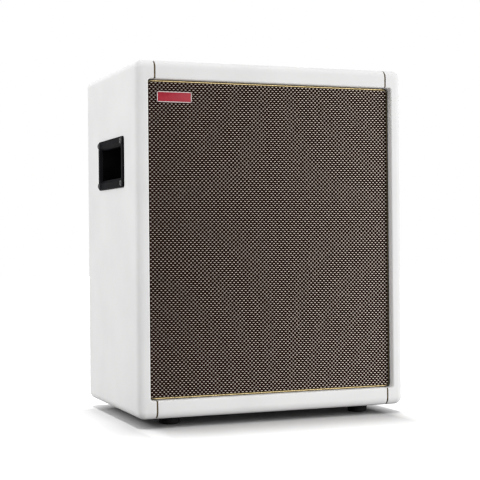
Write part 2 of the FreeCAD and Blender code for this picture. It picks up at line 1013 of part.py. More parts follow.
def woofer_surround():
    """Half-roll edge with a rim on the flange and a lip on the cone."""
    half = surround_thickness / 2
    outer_roll = surround_roll_radius + half
    inner_roll = surround_roll_radius - half
    outer_chord = math.sqrt(outer_roll ** 2 - half ** 2)
    inner_chord = math.sqrt(inner_roll ** 2 - half ** 2)
    points = [
        (surround_outer, -surround_thickness),
        (roll_centre_radius + outer_chord, -surround_thickness),
        ((roll_centre_radius, -half - outer_roll), (roll_centre_radius - outer_chord, -surround_thickness)),
        (surround_inner, -surround_thickness),
        (surround_inner, 0),
        (roll_centre_radius - inner_chord, 0),
        ((roll_centre_radius, -half - inner_roll), (roll_centre_radius + inner_chord, 0)),
        (surround_outer, 0),
    ]
    return turned(points, woofer_centre, Y_AXIS)


def cone_curve_centre():
    """Centre of the cone's curved section, behind its rim."""
    rim = V(surround_inner, 0, 0)
    neck = V(former_radius + seat_gap, cone_depth, 0)
    chord = neck - rim
    half = chord.Length / 2
    back = V(chord.y, -chord.x, 0).normalize()
    return rim + chord / 2 + back * math.sqrt(cone_curve_radius ** 2 - half ** 2)


def cone_point(radius, curve_radius):
    """Point of the cone's section at a radius from the driver's axis."""
    centre = cone_curve_centre()
    return (radius, centre.y - math.sqrt(curve_radius ** 2 - (radius - centre.x) ** 2))


def woofer_cone():
    """Curved paper cone with a flat rim and a short neck round the voice coil."""
    neck = former_radius + seat_gap
    behind = cone_curve_radius - cone_thickness
    middle = (surround_inner + neck) / 2
    neck_end = cone_depth + neck_length
    front_neck = cone_point(neck, cone_curve_radius)
    back_neck = cone_point(neck + cone_thickness, behind)
    back_rim = (surround_inner, cone_point(surround_inner, behind)[1])
    points = [
        (cone_radius, 0),
        (surround_inner, 0),
        (cone_point(middle, cone_curve_radius), front_neck),
        (neck, neck_end),
        (neck + cone_thickness, neck_end),
        back_neck,
        (cone_point(middle, behind), back_rim),
        (cone_radius, back_rim[1]),
    ]
    return turned(points, woofer_centre, Y_AXIS)


def woofer_dust_cap():
    """Domed cap over the voice coil."""
    seat = cone_point(dust_cap_radius, cone_curve_radius)[1] - seat_gap
    sphere = (dust_cap_radius ** 2 + dust_cap_rise ** 2) / (2 * dust_cap_rise)
    middle = seat - dust_cap_rise + sphere
    inner = sphere - dust_cap_thickness
    inner_radius = math.sqrt(inner ** 2 - (middle - seat) ** 2)

    def dome_point(radius, dome):
        return (radius, middle - math.sqrt(dome ** 2 - radius ** 2))

    points = [
        (dust_cap_radius, seat),
        (dome_point(dust_cap_radius / 2, sphere), dome_point(0, sphere)),
        dome_point(0, inner),
        (dome_point(inner_radius / 2, inner), (inner_radius, seat)),
    ]
    return turned(points, woofer_centre, Y_AXIS)


def woofer_voice_coil():
    """Thin former with its winding in the magnet's gap."""
    winding_middle = basket_base_depth + plate_thickness / 2
    winding_start = winding_middle - winding_length / 2
    winding_end = winding_middle + winding_length / 2
    inner = former_radius - former_thickness
    points = [
        (inner, cone_depth),
        (former_radius, cone_depth),
        (former_radius, winding_start),
        (winding_radius, winding_start),
        (winding_radius, winding_end),
        (former_radius, winding_end),
        (former_radius, former_end_depth),
        (inner, former_end_depth),
    ]
    return turned(points, woofer_centre, Y_AXIS)


def woofer_spider():
    """Corrugated disc that centres the voice coil."""
    inner = former_radius + seat_gap
    wave_start = inner + spider_lip_width
    wave_end = spider_shelf_radius - spider_shelf_width - spider_lip_width
    half_pitch = (wave_end - wave_start) / (2 * spider_wave_count)
    middle = spider_shelf_depth - spider_thickness
    line = [(inner, middle), (wave_start, middle)]
    for k in range(2 * spider_wave_count):
        sway = spider_wave_height / 2 * (-1) ** k
        line.append((wave_start + (k + 0.5) * half_pitch, middle + sway))
    line += [(wave_end, middle), (spider_shelf_radius - seat_gap, middle)]
    behind = [(radius, along + spider_thickness) for radius, along in reversed(line)]
    return turned(line + behind, woofer_centre, Y_AXIS)


def woofer_top_plate():
    """Front steel plate of the magnet system."""
    points = [
        (plate_bore_radius, basket_base_depth),
        (plate_radius - plate_chamfer, basket_base_depth),
        (plate_radius, basket_base_depth + plate_chamfer),
        (plate_radius, top_plate_end),
        (plate_bore_radius, top_plate_end),
    ]
    return turned(points, woofer_centre, Y_AXIS)


def woofer_magnet():
    """Ring magnet."""
    points = [
        (magnet_bore_radius, top_plate_end),
        (magnet_radius - plate_chamfer, top_plate_end),
        (magnet_radius, top_plate_end + plate_chamfer),
        (magnet_radius, magnet_end - plate_chamfer),
        (magnet_radius - plate_chamfer, magnet_end),
        (magnet_bore_radius, magnet_end),
    ]
    return turned(points, woofer_centre, Y_AXIS)


def woofer_back_plate():
    """Back plate in one piece with the vented pole."""
    plate_end = magnet_end + plate_thickness
    points = [
        (pole_vent_radius, basket_base_depth),
        (pole_radius - plate_chamfer, basket_base_depth),
        (pole_radius, basket_base_depth + plate_chamfer),
        (pole_radius, magnet_end),
        (plate_radius, magnet_end),
        (plate_radius, plate_end - plate_chamfer),
        (plate_radius - plate_chamfer, plate_end),
        (pole_vent_radius + plate_chamfer, plate_end),
        (pole_vent_radius, plate_end - plate_chamfer),
    ]
    return turned(points, woofer_centre, Y_AXIS)


def terminal_place():
    """Middle of the terminal strip behind the top of the flange."""
    return woofer_centre + V(0, basket_sheet, flange_radius - gasket_width / 2 - driver_screw_circle_inset)


def woofer_terminals():
    """Fibre strip with two solder lugs."""
    place = terminal_place()
    strip_end = place.y + terminal_thickness
    solids = [block(
        centred(0, terminal_width / 2),
        (place.y, strip_end),
        centred(place.z, terminal_height / 2),
    )]
    for side in SIDES:
        solids.append(block(
            centred(side * lug_spacing / 2, lug_width / 2),
            (strip_end, strip_end + lug_length),
            centred(place.z, lug_thickness / 2),
        ))
    return group(solids)


# Horn tweeter

horn_centre = V(0, baffle_front_y, horn_z)


def horn_screw_places():
    """Seats in the corners of the horn's flange."""
    half = horn_flange_size / 2 - horn_screw_inset
    return [horn_centre + V(side * half, -horn_flange_thickness, up * half) for side in SIDES for up in SIDES]


def flare_curve(mouth, throat, curve_radius, start, end):
    """Points of a bell-shaped curve that narrows from the mouth to the throat."""
    chord = V(throat - mouth, end - start, 0)
    half = chord.Length / 2
    rise = curve_radius - math.sqrt(curve_radius ** 2 - half ** 2)
    inward = V(-chord.y, chord.x, 0).normalize()
    middle = V(mouth, start, 0) + chord / 2 + inward * rise
    return (middle.x, middle.y), (throat, end)


def horn_flare():
    """Square flange with a curved round horn behind it."""
    flange = plate(
        horn_flange_size / 2,
        horn_flange_size / 2,
        horn_flange_radius,
        xz_plane(0, baffle_front_y - horn_flange_thickness, horn_z),
        V(0, horn_flange_thickness, 0),
    )
    start = -horn_flange_thickness
    inner_arc = flare_curve(horn_mouth_radius, horn_throat_radius, horn_curve_radius, start, horn_depth)
    outer_mouth = horn_mouth_radius + horn_wall
    outer_throat = horn_throat_radius + horn_wall
    outer_arc = flare_curve(outer_mouth, outer_throat, horn_curve_radius, start, horn_depth)
    bell = turned([(0, start), (outer_mouth, start), outer_arc, (0, horn_depth)], horn_centre, Y_AXIS)
    air = turned([(0, start), (horn_mouth_radius, start), inner_arc, (0, horn_depth)], horn_centre, Y_AXIS)
    cuts = holes(horn_screw_places(), Y_AXIS, wood_screw_radius, 0, horn_flange_thickness)
    return flange.fuse(bell).cut([air] + cuts)


def horn_driver():
    """Compression driver on the horn's throat."""
    start = horn_depth
    body_start = start + compression_flange_thickness
    end = start + compression_length
    points = [
        (horn_throat_radius, start),
        (compression_flange_radius, start),
        (compression_flange_radius, body_start),
        (compression_radius, body_start),
        (compression_radius, end - compression_edge),
        (compression_radius - compression_edge, end),
        (0, end),
        (0, body_start),
        (horn_throat_radius, body_start),
    ]
    return turned(points, horn_centre, Y_AXIS)


def driver_screws():
    """Screws of both drivers, which are of one size."""
    woofer = [
        screw(place, -Y_AXIS, wood_screw_radius, wood_screw_bite, wood_screw_head_radius, wood_screw_head_height)
        for place in woofer_screw_places()
    ]
    horn = [
        screw(place, Y_AXIS, wood_screw_radius, wood_screw_bite, wood_screw_head_radius, wood_screw_head_height)
        for place in horn_screw_places()
    ]
    return group(woofer + horn)


# Amplifier

def dish_solid(grow, mouth_y, floor_y):
    """Tapered block between the dish's mouth and its floor, grown by a sheet."""
    return Part.makeLoft(
        [
            rounded_outline(
                dish_length / 2 + grow - draft,
                dish_height / 2 + grow - draft,
                dish_radius + grow - draft,
                xz_plane(0, y, amp_z),
            )
            for draft, y in ((0, mouth_y), (dish_draft, floor_y))
        ],
        True,
        True,
    )


def chassis_screw_places():
    """Seats round the dish's flange."""
    x = chassis_flange_length / 2 - chassis_screw_inset
    z = chassis_flange_height / 2 - chassis_screw_inset
    places = []
    for column in range(chassis_screw_columns):
        column_share = 2 * column / (chassis_screw_columns - 1) - 1
        places += [V(column_share * x, chassis_face_y, amp_z + up * z) for up in SIDES]
    return places


def control_place(share):
    """Place on the dish's floor, by its share of the half length."""
    return V(share * dish_floor_half_length, dish_floor_y, amp_z)


def floor_hole(place, radius):
    """Round hole in the dish's floor for a threaded bush."""
    return rod(radius + hole_clearance, -chassis_sheet - cut_overrun, cut_overrun, place, Y_AXIS)


def floor_window(place, half_length, half_height):
    """Rectangular hole in the dish's floor."""
    return block(
        centred(place.x, half_length + hole_clearance),
        (dish_inside_y - cut_overrun, dish_floor_y + cut_overrun),
        centred(place.z, half_height + hole_clearance),
    )


inlet_place = control_place(inlet_place_share)
switch_place = control_place(switch_place_share)
volume_place = control_place(volume_place_share)
voicing_place = control_place(voicing_place_share)
jack_places = [control_place(share) for share in jack_place_shares]
inlet_half_length = inlet_mouth_length / 2 + inlet_wall
inlet_half_height = inlet_mouth_height / 2 + inlet_wall
switch_half_width = switch_window_width / 2 + switch_wall
switch_half_length = switch_window_length / 2 + switch_wall


def amp_chassis():
    """Pressed dish with holes for the controls."""
    flange = plate(
        chassis_flange_length / 2,
        chassis_flange_height / 2,
        chassis_flange_radius,
        xz_plane(0, panel_back_y, amp_z),
        V(0, chassis_sheet, 0),
    )
    dish = flange.fuse(dish_solid(chassis_sheet, chassis_face_y, dish_inside_y))
    cuts = [dish_solid(0, chassis_face_y, dish_floor_y)]
    cuts += [floor_hole(place, jack_bush_radius) for place in jack_places]
    cuts.append(floor_hole(volume_place, pot_bush_radius))
    cuts.append(floor_hole(voicing_place, voicing_bush_radius))
    cuts.append(floor_window(inlet_place, inlet_half_length, inlet_half_height))
    cuts.append(floor_window(switch_place, switch_half_width, switch_half_length))
    cuts += holes(chassis_screw_places(), -Y_AXIS, chassis_screw_radius, 0, chassis_sheet)
    return dish.cut(cuts)


def chassis_screws():
    """Screws through the dish's flange into the back panel."""
    return group([
        screw(
            place,
            -Y_AXIS,
            chassis_screw_radius,
            chassis_sheet + chassis_screw_bite,
            chassis_screw_head_radius,
            chassis_screw_head_height,
        )
        for place in chassis_screw_places()
    ])


cover_half_length = dish_length / 2 + cover_margin
cover_half_height = dish_height / 2 + cover_margin
cover_front_y = panel_front_y - cover_depth


def amp_cover():
    """Sheet box behind the dish, with holes for the wires."""
    place = xz_plane(0, cover_front_y, amp_z)
    shell = plate(cover_half_length, cover_half_height, cover_radius, place, V(0, cover_depth, 0))
    room = plate(
        cover_half_length - cover_sheet,
        cover_half_height - cover_sheet,
        cover_radius - cover_sheet,
        xz_plane(0, cover_front_y + cover_sheet, amp_z),
        V(0, cover_depth, 0),
    )
    passage = wire_radius + seat_gap
    cuts = [room]
    for path in woofer_wire_paths():
        cuts.append(rod(passage, -wire_tail, wire_tail, path[0], Z_AXIS))
    for path in horn_wire_paths():
        cuts.append(rod(passage, -wire_tail, wire_tail, path[0], Y_AXIS))
    return shell.cut(cuts)


board_length = dish_length - 2 * board_margin_x
board_height = dish_height - 2 * board_margin_z
circuit_back_y = dish_inside_y - spacer_length
circuit_front_y = circuit_back_y - board_sheet


def amp_board():
    """Circuit board on its spacers."""
    return block(
        centred(0, board_length / 2),
        (circuit_front_y, circuit_back_y),
        centred(amp_z, board_height / 2),
    )


def amp_spacers():
    """Round spacers between the dish's floor and the circuit board."""
    x = board_length / 2 - spacer_inset
    z = board_height / 2 - spacer_inset
    return group([
        rod(spacer_radius, 0, spacer_length, V(side * x, circuit_back_y, amp_z + up * z), Y_AXIS)
        for side in SIDES
        for up in SIDES
    ])


def power_supply():
    """Transformer block and two upright capacitors."""
    x = transformer_place_share * board_length / 2
    solids = [block(
        centred(x, transformer_length_share * board_length / 2),
        (circuit_front_y - transformer_depth, circuit_front_y),
        centred(amp_z, transformer_height / 2),
    )]
    for share in capacitor_place_shares:
        place = V(share * board_length / 2, circuit_front_y, amp_z)
        solids.append(rod(capacitor_radius_share * board_length, 0, capacitor_length, place, -Y_AXIS))
    return group(solids)


def heat_sink():
    """Extruded sink with a row of fins."""
    x = sink_place_share * board_length / 2
    sink_length = sink_length_share * board_length
    left = x - sink_length / 2
    z_span = centred(amp_z, sink_height / 2)
    base = block(centred(x, sink_length / 2), (circuit_front_y - sink_base, circuit_front_y), z_span)
    pitch = (sink_length - sink_fin) / (sink_fin_count - 1)
    fins = [
        block(
            (left + k * pitch, left + k * pitch + sink_fin),
            (circuit_front_y - sink_depth, circuit_front_y - sink_base),
            z_span,
        )
        for k in range(sink_fin_count)
    ]
    return base.multiFuse(fins).removeSplitter()


# Controls on the dish's floor

def mains_inlet():
    """Three-pin inlet: a housing with a keyed mouth, and its blades."""
    face_y = dish_floor_y + inlet_flange_thickness
    flange = plate(
        inlet_flange_length / 2,
        inlet_flange_height / 2,
        inlet_flange_radius,
        xz_plane(inlet_place.x, dish_floor_y, inlet_place.z),
        V(0, inlet_flange_thickness, 0),
    )
    floor_y = face_y - inlet_depth
    core = block(
        centred(inlet_place.x, inlet_half_length),
        (floor_y - inlet_wall, dish_floor_y),
        centred(inlet_place.z, inlet_half_height),
    )
    half_length = inlet_mouth_length / 2
    half_height = inlet_mouth_height / 2
    mouth = [
        (-half_length, -half_height),
        (half_length, -half_height),
        (half_length, half_height - inlet_key),
        (half_length - inlet_key, half_height),
        (inlet_key - half_length, half_height),
        (-half_length, half_height - inlet_key),
    ]
    room = Part.Face(outline(mouth, xz_plane(inlet_place.x, floor_y, inlet_place.z)))
    housing = flange.fuse(core).cut(room.extrude(V(0, inlet_depth, 0)))
    blades = []
    for spread, rise in ((-1, -1), (0, 1), (1, -1)):
        blades.append(block(
            centred(inlet_place.x + spread * pin_spread, pin_thickness / 2),
            (floor_y, floor_y + pin_length),
            centred(inlet_place.z + rise * pin_rise / 2, pin_width / 2),
        ))
    return group([housing] + blades)


rocker_pivot_y = dish_floor_y + switch_bezel_thickness - rocker_pivot_depth


def power_switch_housing():
    """Bezel and body round the rocker, with bearings for its pins."""
    bezel = plate(
        switch_half_width + switch_bezel_width,
        switch_half_length + switch_bezel_width,
        switch_bezel_radius,
        xz_plane(switch_place.x, dish_floor_y, switch_place.z),
        V(0, switch_bezel_thickness, 0),
    )
    body_span = centred(switch_place.x, switch_half_width)
    body = block(body_span, (dish_floor_y - switch_depth, dish_floor_y), centred(switch_place.z, switch_half_length))
    window = block(
        centred(switch_place.x, switch_window_width / 2),
        (dish_floor_y - switch_depth + switch_wall, dish_floor_y + switch_bezel_thickness + cut_overrun),
        centred(switch_place.z, switch_window_length / 2),
    )
    reach = switch_window_width / 2 + rocker_pin_length + running_clearance
    bearing = rod(
        rocker_pin_radius + running_clearance,
        -reach,
        reach,
        V(switch_place.x, rocker_pivot_y, switch_place.z),
        X_AXIS,
    )
    return bezel.fuse(body).cut([window, bearing])


def power_rocker():
    """Rocker with a shallow valley and round ends, tipped to its off side."""
    pivot = V(switch_place.x, rocker_pivot_y, switch_place.z)
    half_width = switch_window_width / 2 - seat_gap
    radius = switch_window_length / 2 - seat_gap
    crest = rocker_valley_rise + radius * math.tan(math.radians(rocker_tilt))
    section = [
        (-rocker_back_depth, -radius),
        (crest, -radius),
        (rocker_valley_rise, 0),
        (crest, radius),
        (-rocker_back_depth, radius),
    ]
    left = pivot - X_AXIS * half_width
    cap = Part.Face(outline(section, yz_plane(left.x, left.y, left.z))).extrude(V(2 * half_width, 0, 0))
    cap = cap.common(rod(radius, -half_width, half_width, pivot, X_AXIS))
    pin_reach = switch_window_width / 2 + rocker_pin_length
    rocker = cap.fuse(rod(rocker_pin_radius, -pin_reach, pin_reach, pivot, X_AXIS)).removeSplitter()
    rocker.rotate(pivot, X_AXIS, -rocker_tilt)
    return rocker


def volume_pot():
    """Round potentiometer body with a bored threaded bush."""
    body = rod(pot_radius, -chassis_sheet - pot_depth, -chassis_sheet, volume_place, Y_AXIS)
    bush = rod(pot_bush_radius, -chassis_sheet, pot_bush_length, volume_place, Y_AXIS)
    bore = rod(shaft_radius + running_clearance, -chassis_sheet, pot_bush_length + cut_overrun, volume_place, Y_AXIS)
    return body.fuse(bush).cut(bore)


def volume_knob():
    """Fluted knob with a pointer groove, on its shaft."""
    base = knob_floor_gap
    top = knob_floor_gap + knob_height
    edge = knob_top_radius - knob_edge_chamfer
    bore = shaft_radius + running_clearance
    points = [
        (knob_cup_radius, base),
        (knob_radius, base),
        (knob_top_radius, top - knob_edge_chamfer),
        (edge, top),
        (0, top),
        (0, shaft_reach),
        (bore, shaft_reach),
        (bore, base + knob_cup_depth),
        (knob_cup_radius, base + knob_cup_depth),
    ]
    knob = turned(points, volume_place, Y_AXIS)
    flutes = []
    for k in range(knob_flute_count):
        angle = 2 * math.pi * (k + 0.5) / knob_flute_count
        place = volume_place + V(knob_radius * math.cos(angle), 0, knob_radius * math.sin(angle))
        flutes.append(rod(knob_flute_radius, base - cut_overrun, top + cut_overrun, place, Y_AXIS))
    mark = block(
        centred(volume_place.x, knob_mark_width / 2),
        (dish_floor_y + top - knob_mark_depth, dish_floor_y + top + cut_overrun),
        (volume_place.z + edge / 2, volume_place.z + knob_radius),
    )
    shaft = rod(shaft_radius, 0, shaft_reach, volume_place, Y_AXIS)
    return group([knob.cut(flutes + [mark]), shaft])


def voicing_switch():
    """Small lever switch with a bored bush."""
    body = block(
        centred(voicing_place.x, voicing_body_length / 2),
        (dish_inside_y - voicing_body_depth, dish_inside_y),
        centred(voicing_place.z, voicing_body_height / 2),
    )
    bush = rod(voicing_bush_radius, -chassis_sheet, voicing_bush_length, voicing_place, Y_AXIS)
    bore = rod(lever_ball_radius + seat_gap, -lever_ball_radius - seat_gap, voicing_bush_length + cut_overrun,
               voicing_place, Y_AXIS)
    return body.fuse(bush).cut(bore)


def voicing_lever():
    """Bat lever that pivots on its ball."""
    ball = lever_ball_radius
    waist = math.sqrt(ball ** 2 - lever_neck_radius ** 2)
    tip_start = lever_length - lever_tip_chamfer
    points = [
        (0, -ball),
        ((ball, 0), (lever_neck_radius, waist)),
        (lever_tip_radius, tip_start),
        (lever_tip_radius - lever_tip_chamfer, lever_length),
        (0, lever_length),
    ]
    return turned(points, voicing_place, Y_AXIS)


def jack_sockets():
    """Two sockets whose bores widen a little in their bushes."""
    solids = []
    for place in jack_places:
        body = block(
            centred(place.x, jack_body_size / 2),
            (dish_inside_y - jack_body_depth, dish_inside_y),
            centred(place.z, jack_body_size / 2),
        )
        bush = rod(jack_bush_radius, -chassis_sheet, jack_bush_length, place, Y_AXIS)
        bore = rod(jack_bore_radius, -jack_body_depth, -chassis_sheet, place, Y_AXIS)
        mouth = rod(jack_mouth_radius, -chassis_sheet, jack_bush_length + cut_overrun, place, Y_AXIS)
        solids.append(body.fuse(bush).cut([bore, mouth]))
    return group(solids)


def panel_nuts():
    """Nuts that hold the controls to the dish's floor."""
    bushes = [(place, jack_bush_radius) for place in jack_places]
    bushes += [(volume_place, pot_bush_radius), (voicing_place, voicing_bush_radius)]
    return group([
        hexagon(2 * (radius + nut_margin), nut_thickness, radius + hole_clearance, place, Y_AXIS)
        for place, radius in bushes
    ])


# Wires

def woofer_wire_paths():
    """Routes from the bottom of the amplifier's cover to the woofer's lugs."""
    lug = terminal_place()
    end_y = lug.y + terminal_thickness + lug_length
    start_z = amp_z - cover_half_height
    return [
        [
            V(side * lug_spacing / 2, woofer_wire_y, start_z),
            V(side * lug_spacing / 2, woofer_wire_y, lug.z),
            V(side * lug_spacing / 2, end_y, lug.z),
        ]
        for side in SIDES
    ]


def horn_wire_paths():
    """Routes from the front of the amplifier's cover to the back of the horn's driver."""
    end_y = baffle_front_y + horn_depth + compression_length
    return [
        [V(side * lug_spacing / 2, cover_front_y, horn_z), V(side * lug_spacing / 2, end_y, horn_z)]
        for side in SIDES
    ]


def speaker_wires():
    """Two wires to each driver."""
    paths = woofer_wire_paths() + horn_wire_paths()
    return group([tube(rounded_path(path, wire_bend_radius), wire_radius) for path in paths])


pieces = body_pieces()
for name, place in foot_places().items():
    pieces[name] = foot(place)
right_handle = handle()
pieces.update({
    "foot_screws": foot_screws(),
    "handle_right": right_handle,
    "handle_left": mirrored(right_handle),
    "handle_screws": handle_screws(),
    "grille_frame": grille_frame(),
    "grille_cloth": grille_cloth(),
    "grille_piping": grille_piping(),
    "grille_pads": grille_pads(),
    "badge_plate": badge_plate(),
    "badge_border": badge_border(),
    "baffle_board": baffle_board(),
    "baffle_cleats": frame_cleats(baffle_back_y),
    "back_panel": back_panel(),
    "back_cleats": back_cleats(),
    "back_panel_screws": back_panel_screws(),
    "woofer_gasket": woofer_gasket(),
    "woofer_basket": woofer_basket(),
    "woofer_surround": woofer_surround(),
    "woofer_cone": woofer_cone(),
    "woofer_dust_cap": woofer_dust_cap(),
    "woofer_voice_coil": woofer_voice_coil(),
    "woofer_spider": woofer_spider(),
    "woofer_top_plate": woofer_top_plate(),
    "woofer_magnet": woofer_magnet(),
    "woofer_back_plate": woofer_back_plate(),
    "woofer_terminals": woofer_terminals(),
    "horn_flare": horn_flare(),
    "horn_driver": horn_driver(),
    "driver_screws": driver_screws(),
    "amp_chassis": amp_chassis(),
    "amp_chassis_screws": chassis_screws(),
    "amp_cover": amp_cover(),
    "amp_board": amp_board(),
    "amp_spacers": amp_spacers(),
    "power_supply": power_supply(),
    "heat_sink": heat_sink(),
    "mains_inlet": mains_inlet(),
    "power_switch_housing": power_switch_housing(),
    "power_rocker": power_rocker(),
    "volume_pot": volume_pot(),
    "volume_knob": volume_knob(),
    "voicing_switch": voicing_switch(),
    "voicing_lever": voicing_lever(),
    "jack_sockets": jack_sockets(),
    "panel_nuts": panel_nuts(),
    "speaker_wires": speaker_wires(),
})

os.makedirs("parts", exist_ok=True)
for name, shape in pieces.items():
    shape.exportStep(f"parts/{name}.step")
print(len(pieces), "pieces")
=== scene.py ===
# %% [markdown]
# # White guitar speaker cabinet
# A wooden box in grained white vinyl, with a recessed grille of woven cloth, a rim of thin gold piping, a moulded
# handle let into each side and four rubber feet. The measured solids of its pieces are loaded first. Every later cell
# finishes some of them, or adds a piece that is easier to make by hand in Blender. Lengths are in metres, the grille
# faces -Y and Z is up from the floor.

# %% Load the measured solids
import bpy
import json
import math
from mathutils import Matrix, Vector

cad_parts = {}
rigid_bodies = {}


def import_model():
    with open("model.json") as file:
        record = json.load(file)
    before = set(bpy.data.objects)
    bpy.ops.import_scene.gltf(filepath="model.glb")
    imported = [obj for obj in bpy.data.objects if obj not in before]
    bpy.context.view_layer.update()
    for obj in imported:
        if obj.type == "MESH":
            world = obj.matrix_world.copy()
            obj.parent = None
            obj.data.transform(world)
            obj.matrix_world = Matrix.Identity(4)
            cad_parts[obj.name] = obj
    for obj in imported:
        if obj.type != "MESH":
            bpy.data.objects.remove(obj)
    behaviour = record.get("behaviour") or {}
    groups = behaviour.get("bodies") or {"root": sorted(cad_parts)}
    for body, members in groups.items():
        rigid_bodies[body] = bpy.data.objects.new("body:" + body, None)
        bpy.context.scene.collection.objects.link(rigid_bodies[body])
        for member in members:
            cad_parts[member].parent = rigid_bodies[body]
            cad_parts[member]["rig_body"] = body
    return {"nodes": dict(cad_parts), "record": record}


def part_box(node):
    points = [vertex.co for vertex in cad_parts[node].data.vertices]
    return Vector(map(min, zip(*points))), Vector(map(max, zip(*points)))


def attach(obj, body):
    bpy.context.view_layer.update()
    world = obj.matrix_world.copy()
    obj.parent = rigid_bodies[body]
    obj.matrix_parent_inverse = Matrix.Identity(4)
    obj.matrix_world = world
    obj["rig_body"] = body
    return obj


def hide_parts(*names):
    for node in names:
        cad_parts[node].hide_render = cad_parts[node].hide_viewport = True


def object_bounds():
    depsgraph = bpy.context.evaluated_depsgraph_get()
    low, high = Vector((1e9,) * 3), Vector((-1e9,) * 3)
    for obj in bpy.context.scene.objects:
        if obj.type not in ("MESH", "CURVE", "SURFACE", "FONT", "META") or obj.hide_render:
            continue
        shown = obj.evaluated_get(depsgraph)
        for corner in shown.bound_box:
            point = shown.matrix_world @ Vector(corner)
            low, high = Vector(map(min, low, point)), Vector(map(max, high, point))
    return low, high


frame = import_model()
cad_low, cad_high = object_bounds()
solids = frame["nodes"]
slot_of = {row["node"]: row["material_slot"] for row in frame["record"]["subparts"]}

# %% [markdown]
# ## The camera
# The cabinet is seen from its front left, from half its height and from nearly two metres away, so its upright edges
# stay upright. The camera could be aimed with a constraint, but three small angles say it exactly: the turn about Z,
# the tilt up or down, and the lean of the frame.

# %% Camera
focal_length, sensor_width = 92.24, 36
camera_place = Vector((-0.6899, -1.7699, 0.2615))
turn, tilt, lean = 0.3712, -0.0006, -0.0086

ahead = Vector((math.sin(turn) * math.cos(tilt), math.cos(turn) * math.cos(tilt), math.sin(tilt)))
level = Vector((math.cos(turn), -math.sin(turn), 0))
upright = level.cross(ahead)
right = math.cos(lean) * level + math.sin(lean) * upright
up = math.cos(lean) * upright - math.sin(lean) * level

bpy.ops.object.camera_add()
camera = bpy.context.object
camera.data.lens = focal_length
camera.data.sensor_width = sensor_width
camera.matrix_world = Matrix.Translation(camera_place) @ Matrix((right, up, -ahead)).transposed().to_4x4()
bpy.context.scene.camera = camera
print("camera looks along", [round(v, 3) for v in ahead])

# %% [markdown]
# ## Helpers for materials
# Each finish is a Principled shader with a pattern on the piece's own Object coordinates, so a pattern's scale is in
# real units: a noise of scale 1000 has features of about a millimetre. The helpers keep each finish to a few lines.

# %% Material helpers
def new_material(name, colour, roughness, metallic=0.0):
    """A material with one shader, and the coordinates that its patterns follow."""
    material = bpy.data.materials.new(name)
    material.use_nodes = True
    tree = material.node_tree
    shader = tree.nodes["Principled BSDF"]
    shader.inputs["Base Color"].default_value = (*colour, 1)
    shader.inputs["Roughness"].default_value = roughness
    shader.inputs["Metallic"].default_value = metallic
    place = tree.nodes.new("ShaderNodeTexCoord").outputs["Object"]
    return material, tree, shader, place


def feed(tree, socket, value):
    """Links another socket to this one, or sets its value."""
    if isinstance(value, bpy.types.NodeSocket):
        tree.links.new(value, socket)
    else:
        socket.default_value = value


def calc(tree, operation, *values):
    """One step of arithmetic on numbers or sockets."""
    made = tree.nodes.new("ShaderNodeMath")
    made.operation = operation
    for socket, value in zip(made.inputs, values):
        feed(tree, socket, value)
    return made.outputs[0]


def stretched(tree, place, scale):
    """Coordinates that are squeezed before a pattern reads them."""
    made = tree.nodes.new("ShaderNodeMapping")
    made.inputs["Scale"].default_value = scale
    tree.links.new(place, made.inputs["Vector"])
    return made.outputs["Vector"]


def noise(tree, place, scale, detail=2.0):
    """Cloudy pattern from 0 to 1."""
    made = tree.nodes.new("ShaderNodeTexNoise")
    made.inputs["Scale"].default_value = scale
    made.inputs["Detail"].default_value = detail
    tree.links.new(place, made.inputs["Vector"])
    return made.outputs[0]


def pebbles(tree, place, scale):
    """Rounded cells, low in their middles."""
    made = tree.nodes.new("ShaderNodeTexVoronoi")
    made.feature = "SMOOTH_F1"
    made.inputs["Scale"].default_value = scale
    tree.links.new(place, made.inputs["Vector"])
    return made.outputs["Distance"]


def blend(tree, factor, dark, light, low=0.3, high=0.7):
    """Colour that runs from dark to light as the factor runs from low to high."""
    made = tree.nodes.new("ShaderNodeValToRGB")
    for element, position, colour in zip(made.color_ramp.elements, (low, high), (dark, light)):
        element.position = position
        element.color = (*colour, 1)
    tree.links.new(factor, made.inputs[0])
    return made.outputs["Color"]


def ramp(tree, factor, start, end, low, high):
    """Number that runs from low to high as the factor runs from start to end."""
    made = tree.nodes.new("ShaderNodeMapRange")
    for socket, value in (("From Min", start), ("From Max", end), ("To Min", low), ("To Max", high)):
        made.inputs[socket].default_value = value
    tree.links.new(factor, made.inputs["Value"])
    return made.outputs[0]


def spread(tree, factor, low, high):
    """Number that runs from low to high as the factor runs from 0 to 1."""
    return ramp(tree, factor, 0.0, 1.0, low, high)


def scaled(tree, colour, factor):
    """Colour made brighter or darker by a factor."""
    made = tree.nodes.new("ShaderNodeVectorMath")
    made.operation = "SCALE"
    tree.links.new(colour, made.inputs["Vector"])
    tree.links.new(factor, made.inputs["Scale"])
    return made.outputs["Vector"]


def axes(tree, place):
    """The three numbers of a place or a direction."""
    made = tree.nodes.new("ShaderNodeSeparateXYZ")
    tree.links.new(place, made.inputs[0])
    return made.outputs["X"], made.outputs["Y"], made.outputs["Z"]


def relief(tree, shader, height, depth):
    """Fine relief of a real depth."""
    made = tree.nodes.new("ShaderNodeBump")
    made.inputs["Distance"].default_value = depth
    tree.links.new(height, made.inputs["Height"])
    tree.links.new(made.outputs["Normal"], shader.inputs["Normal"])


print("material helpers ready")

# %% [markdown]
# ## The studio
# The cabinet stands on white paper in a white room, which show nothing but its short shadow. The room could be a
# curved sweep with a lamp on it, but a plain floor and the world's colour look the same and need no model. The floor
# is matt and takes the shadow. To the camera it is white, and away from the cabinet it gets some light of its own, as
# the world does, and metal mirrors both as the camera sees them. A little of that light reaches in under the sides and
# the back, which softens the shadow's ends. As lamps both are dim, so that black plastic stays black.

